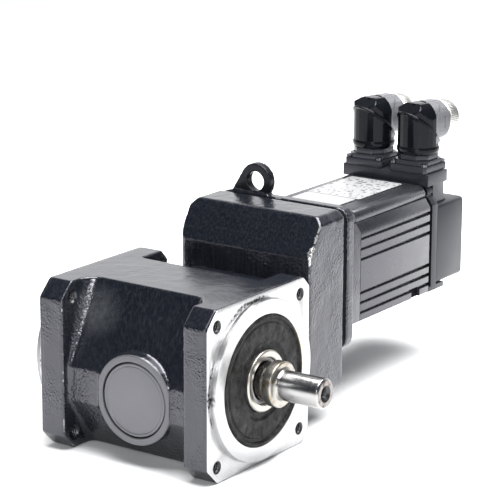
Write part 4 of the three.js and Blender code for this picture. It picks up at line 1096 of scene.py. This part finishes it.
GROOVES = [20.5, 13, 5.5, -19, -26.2, -33.5]      # heights over the motor axis, millimetres
GROOVE_HALF = 1.4 * MM
GROOVE_DEPTH = 2.2 * MM
SHOULDER = 6.5 * MM
NOTCH_START = 226 * MM         # a notch crosses the frame's bottom edge on either side
NOTCH_END = 237.5 * MM
NOTCH_HEIGHT = 7 * MM
STATOR_BORE = 33.3 * MM
SEAT_END = 139 * MM            # of the front bearing
REAR_BAR_START = 253.6 * MM
REAR_LIP_TOP = 58.7 * MM


def motor_flank(grooved):
    """Right half of the motor's section over its axis, from its bottom to its top, as (X, Z)."""
    half = MOTOR_HALF
    points = [(half - 0.8 * MM, -half), (half, -half + 0.8 * MM)]
    if grooved:
        for height in sorted(GROOVES):
            low = height * MM - GROOVE_HALF
            high = height * MM + GROOVE_HALF
            edge = half - GROOVE_DEPTH
            points += [(half, low), (edge, low + 0.9 * MM), (edge, high - 0.3 * MM), (half, high)]
    points += shifted((half, 0), (0, 25), (-3.6, 30.2), (-4.0, 31.0), (-4.6, 31.2), (-5.3, 30.7))
    return points + arc(half - 11 * MM, 33.5 * MM, SHOULDER, -12, 90, 14)


def motor_outline(grooved=False):
    right = motor_flank(grooved)
    left = [(-x, z) for x, z in reversed(right)]
    return [(MOTOR_AXIS.z + z, MOTOR_AXIS.x + x) for x, z in right + left]


def front_bell():
    """Front bell, bored for the shaft, its bearing and the winding."""
    bell = prism("front_bell", "Y", [motor_outline()], BELL_LOW.y, BELL_HIGH.y, 0.35 * MM)
    shaft_hole, seat, winding = 11, 17.8, 32       # radii in millimetres
    profile = shifted((0, BELL_LOW.y), (0, -1), (shaft_hole, -1), (shaft_hole, 2), (seat, 2))
    profile += shifted((0, SEAT_END), (seat, 0), (winding, 3))
    profile += shifted((0, BELL_HIGH.y), (winding, 1), (0, 1))
    combine(bell, turned("inside", "Y", MOTOR_AXIS, profile, 0.0, 64), "DIFFERENCE")
    settle(shade(bell), BELL_BLACK, "motor_front_bell")


def stator_frame():
    """Grooved frame with a notch in each bottom edge, whose inner faces get painted shade."""
    bore = circle(MOTOR_AXIS.z, MOTOR_AXIS.x, STATOR_BORE, 96)
    outlines = [motor_outline(grooved=True), bore]
    body = prism("stator_frame", "Y", outlines, STATOR_LOW.y, STATOR_HIGH.y, 0.2 * MM)
    for side in (-1, 1):
        wall = MOTOR_AXIS.x + side * (MOTOR_HALF - GROOVE_DEPTH)
        outside = MOTOR_AXIS.x + side * (MOTOR_HALF + MM)
        low = (min(wall, outside), NOTCH_START, STATOR_LOW.z - MM)
        high = (max(wall, outside), NOTCH_END, STATOR_LOW.z + NOTCH_HEIGHT)
        combine(body, block("notch", low, high), "DIFFERENCE")

    def in_notch(face):
        x, y, z = face.center - Vector((MOTOR_AXIS.x, 0, STATOR_LOW.z))
        beside = NOTCH_START <= y <= NOTCH_END and abs(x) < MOTOR_HALF - MM
        return beside and 0.5 * MM < z < NOTCH_HEIGHT + 0.1 * MM

    # Painted shade: the notch's inner faces are coloured near-black.
    paint_faces(body, 1, in_notch)
    looks = [MOTOR_BLACK, PAINTED_SHADE_BLACK]
    settle(shade(body), looks, "motor_stator_housing")


def rear_parts():
    """Rear bell, whose recessed front lip gets painted shade, rear cover and connector deck."""
    for name, node, width, look in (
        ("rear_bell", "motor_rear_bell", 0.15 * MM, COVER_BLACK),
        ("rear_cover", "motor_rear_cover", 0.3 * MM, COVER_BLACK),
        ("connector_deck", "connector_base", 0.5 * MM, DECK_BLACK),
    ):
        piece = bevelled(solid_copy(name, node), width, 3)
        if name == "rear_bell":
            # Painted shade: the lip in front of the rear bar is coloured near-black.
            paint_faces(piece, 1, lambda face: (
                face.center.y < REAR_BAR_START and face.center.z > REAR_LIP_TOP
            ))
        settle(shade(piece), [look, PAINTED_SHADE_BLACK], node)


def labels():
    for name in ("rating_label_rear", "rating_label_front"):
        low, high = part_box(name)
        outline = rounded_rectangle((low.x, high.x), (low.y, high.y), 1.6 * MM)
        film = prism(name + "_film", "Z", [outline], low.z, high.z, 0.08 * MM)
        settle(shade(film), LABEL_FILM, name)


# -------------------- connectors

OUTLET_TURN = radians(-15)
OUTLET_HEIGHT = 178.7 * MM
OUTLET_RADIUS = 14.5 * MM
OUTLET_END = 19 * MM
RING_END = 29.5 * MM
RING_RADIUS = 13.8 * MM
RING_BORE = 11.4 * MM
HEAD_RADIUS = 15.3 * MM
BEAD_RADIUS = 0.9 * MM
BEAD_HEIGHT = 174 * MM         # of the seam's middle
BEAD_SLOPE = 0.85              # how much it falls towards the outlet
TUBE_START = 4.0 * MM          # the outlet has its own finish from here on
TUBE_BOTTOM = OUTLET_HEIGHT - OUTLET_RADIUS - 0.6 * MM


def cut_corner_square(half, corner):
    """A square about the origin with its corners cut, drawn anticlockwise."""
    edge = [(half, -half + corner), (half, half - corner)]
    outline = []
    for _ in range(4):
        outline += edge
        edge = [(-b, a) for a, b in edge]
    return outline


def moved(outline, centre):
    return [(a + centre.x, b + centre.y) for a, b in outline]


def connector_flange(name, node):
    """Stepped flange: a square foot, a middle step and an upper collar with cut corners."""
    low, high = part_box(node)
    centre = (low + high) / 2
    half = (high.x - low.x) / 2
    bore = circle(centre.x, centre.y, 9 * MM, 48)
    levels = (
        (low.z, low.z + 4.8 * MM, half, 2 * MM),
        (low.z + 4.6 * MM, low.z + 8.4 * MM, half - 1.3 * MM, 5 * MM),
        (low.z + 8.2 * MM, high.z, half - 2.6 * MM, 6.5 * MM),
    )
    whole = None
    for bottom, top, size, corner in levels:
        outline = moved(cut_corner_square(size, corner), centre)
        step = prism(name, "Z", [outline, bore], bottom, top, 0.25 * MM)
        whole = combine(whole, step, "UNION") if whole else step
    settle(shade(whole), DECK_BLACK, node)


def turned_about(obj, centre):
    """Turns a piece made about the upright axis into the connector's own direction."""
    move = Matrix.Translation(centre) @ Matrix.Rotation(OUTLET_TURN, 4, "Z")
    obj.data.transform(move)
    return obj


def mitre_bead():
    """Raised bead along the slanted seam between the upright head and its outlet."""
    curve = bpy.data.curves.new("bead", "CURVE")
    curve.dimensions = "3D"
    curve.bevel_depth = BEAD_RADIUS
    curve.bevel_resolution = 3
    spline = curve.splines.new("POLY")
    seam = circle(0, 0, HEAD_RADIUS, 96)
    spline.points.add(len(seam) - 1)
    spline.use_cyclic_u = True
    for point, (side, along) in zip(spline.points, seam):
        point.co = (side, along, BEAD_HEIGHT - BEAD_SLOPE * along, 1)
    return mesh_object("bead", mesh_of_curve(curve))


def elbow_envelope():
    """Rounds the head's shoulders: a barrel round the outlet's axis, open below that axis."""
    wide, foot = HEAD_RADIUS + 5 * MM, OUTLET_HEIGHT - 60 * MM
    shoulder = arc(OUTLET_HEIGHT, 0, HEAD_RADIUS + 0.3 * MM, -90, 90, 40)
    outline = [(foot, -wide), (OUTLET_HEIGHT, -wide), *shoulder, (OUTLET_HEIGHT, wide), (foot, wide)]
    return prism("envelope", "Y", [outline], -60 * MM, 60 * MM, 0)


COLLAR_FOOT = 156.4 * MM
PLUG_FOOT = 190 * MM
SLOT_REACH = Vector((1.2 * MM, 1.2 * MM, 4.5 * MM))


def head_details():
    """What stands proud of a connector head: seam bead, foot collar, spine and top plug."""
    collar = shifted(
        (0, COLLAR_FOOT), (9.5, 0), (14.2, 0), (15.8, 1.6), (15.8, 4.1), (14.6, 5.1), (9.5, 5.1)
    )
    plug = shifted((0, PLUG_FOOT), (0, 0), (5, 0), (5, 3.2), (0, 3.2))
    spine_low = (-3.4 * MM, TUBE_START, OUTLET_HEIGHT + 12 * MM)
    spine_high = (3.4 * MM, 15 * MM, OUTLET_HEIGHT + 15.1 * MM)
    return [
        mitre_bead(),
        turned("collar", "Z", (0, 0, 0), collar, 0.3 * MM, 64),
        block("spine", spine_low, spine_high),
        turned("plug", "Z", (0, -1.5 * MM, 0), plug, 0.4 * MM, 32),
    ]


def connector_head(name, body, centre):
    """Angled connector body with its outlet, whose paler black is painted light standing in for its lit
    top.
    """
    node = f"{name}_connector_body"
    head = solid_copy(f"{name}_head_shell", node, dissolve=False)
    combine(head, turned_about(elbow_envelope(), centre), "INTERSECT")
    details = [turned_about(detail, centre) for detail in head_details()]
    melt(head, details, 0.42 * MM, 3)
    for side in (-1, 1):
        middle = Vector((side * 13.9 * MM, 13.8 * MM, OUTLET_HEIGHT))
        slot = block("slot", middle - SLOT_REACH, middle + SLOT_REACH)
        combine(head, turned_about(slot, centre), "DIFFERENCE")
    head.data.shade_smooth()
    along = Vector((-sin(OUTLET_TURN), cos(OUTLET_TURN), 0))
    # Painted light: the outlet's faces get the paler black.
    paint_faces(head, 1, lambda face: (
        (face.center - centre).dot(along) > TUBE_START and face.center.z > TUBE_BOTTOM
    ))
    settle(head, [HEAD_BLACK, TUBE_PAINTED_LIGHT], node, body)


def connector_inside(name, body):
    node = f"{name}_connector_insert"
    insert = bevelled(solid_copy(f"{name}_contact_carrier", node), 0.25 * MM)
    settle(shade(insert), BLACK_PLASTIC, node, body)


def coupling_ring(name, body, centre):
    """Knurled ring that turns on the outlet."""
    start, end = OUTLET_END + GAP, RING_END
    waist = RING_RADIUS - 0.6 * MM
    profile = [(RING_BORE, start), (waist, start), (waist, start + 1.2 * MM)]
    profile += [(RING_RADIUS, start + 1.8 * MM), (RING_RADIUS, end - 2.6 * MM)]
    profile += shifted((waist, end), (0, -2.0), (0, -0.5), (-0.5, 0))
    profile.append((RING_BORE, end))
    flutes = (60, 0.28 * MM, RING_RADIUS - 0.2 * MM)
    middle = (0, 0, OUTLET_HEIGHT)
    ring = turned(f"{name}_ring", "Y", middle, profile, 0.15 * MM, 240, flutes)
    turned_about(ring, centre)
    settle(shade(ring, 60), NICKEL, f"{name}_coupling_ring", body)


def connectors():
    joints = {joint["name"]: joint for joint in frame["joints"]}
    for name in ("power", "signal"):
        place = joints[f"{name}_swivel"]["pos_m"]
        centre = Vector((place[0], place[1], 0))
        connector_flange(f"{name}_flange", f"{name}_connector_flange")
        connector_head(name, f"{name}_head", centre)
        connector_inside(name, f"{name}_head")
        coupling_ring(name, f"{name}_ring", centre)
        for number in range(1, 5):
            node = f"{name}_connector_screw_{number}"
            socket_screw(f"{name}_screw_{number}", node, "Z", 2 * MM, BRIGHT_SCREW)


# -------------------- stage, light and camera

def floor():
    """Plain pale paper under the object."""
    shape = bmesh.new()
    bmesh.ops.create_grid(shape, x_segments=1, y_segments=1, size=14)
    plane = object_from("floor", shape)
    made, tree = material("floor_paper", Roughness=0.9, Specular_IOR_Level=0.1)
    tone = mix_colour(noise_value(tree, 400), grey(0.8), (0.78, 0.785, 0.79))
    plane.data.materials.append(surface(made, Base_Color=tone))
    plane.location.z = -0.5 * MM


def world():
    """Pale room: bright behind the object and along the horizon, dim above and in front."""
    sky = bpy.data.worlds.new("studio")
    sky.use_nodes = True
    tree = sky.node_tree
    direction = add(tree, "ShaderNodeTexCoord").outputs["Generated"]
    height = separate(tree, direction)["Z"]
    facing = {0: direction, 1: (-0.574, 0.819, 0.0)}
    away = add(tree, "ShaderNodeVectorMath", facing, operation="DOT_PRODUCT").outputs["Value"]
    behind = times(stretch(away, 0.32, 0.75), stretch(height, 0.42, 0.8, 1.0, 0.0))
    bright = math_node("MAXIMUM", behind, stretch(height, 0.03, 0.14, 1.0, 0.0))
    tone = mix_colour(bright, (0.018, 0.024, 0.036), (1.0, 1.0, 1.01))
    wire(tree.nodes["Background"], {"Color": tone, "Strength": 1.5})
    bpy.context.scene.world = sky


def area_light(name, location, target, size, power):
    """Rectangular lamp of a size in metres and a power in watts, aimed at a target."""
    lamp = bpy.data.lights.new(name, "AREA")
    lamp.shape = "RECTANGLE"
    lamp.size, lamp.size_y = size
    lamp.energy = power
    obj = mesh_object(name, lamp)
    obj.location = location
    obj.rotation_euler = (Vector(target) - Vector(location)).to_track_quat("-Z", "Y").to_euler()


# Chosen so that the render lines up with the photograph.
CAMERA_PLACE = (0.86857, -1.15238, 0.51510)
CAMERA_AZIMUTH = radians(35.048)
CAMERA_ELEVATION = radians(14.805)
CAMERA_ROLL = radians(0.2025)
FOCAL_LENGTH = 163.81          # millimetres, on a sensor 36 mm wide


def camera():
    level = cos(CAMERA_ELEVATION)
    back = Vector((
        sin(CAMERA_AZIMUTH) * level,
        -cos(CAMERA_AZIMUTH) * level,
        sin(CAMERA_ELEVATION),
    ))
    right = Vector((cos(CAMERA_AZIMUTH), sin(CAMERA_AZIMUTH), 0))
    up = back.cross(right)
    tilted_right = right * cos(CAMERA_ROLL) + up * sin(CAMERA_ROLL)
    tilted_up = up * cos(CAMERA_ROLL) - right * sin(CAMERA_ROLL)
    lens = bpy.data.cameras.new("camera")
    lens.lens = FOCAL_LENGTH
    lens.sensor_width = 36
    lens.clip_end = 50
    obj = mesh_object("camera", lens)
    turn = Matrix((tilted_right, tilted_up, back)).transposed().to_4x4()
    obj.matrix_world = Matrix.Translation(CAMERA_PLACE) @ turn
    bpy.context.scene.camera = obj


paint_cad_nodes()
gear_case()
access_cap()
end_cover()
oil_seal()
output_sleeve()
output_shaft()
stage()
for number in range(1, 5):
    socket_screw(f"plate_screw_{number}", f"adapter_screw_{number}", "Y", 3 * MM, SCREW_METAL)
front_bell()
stator_frame()
rear_parts()
labels()
connectors()
floor()
world()
area_light("top", (0.25, 0.2, 1.9), (0.05, 0.1, 0), (2.0, 1.8), 150)
area_light("sparkle", (0.97, -1.76, 0.98), (0, 0, 0.1), (0.8, 0.45), 24)
camera()
bpy.context.scene.view_settings.view_transform = "Standard"
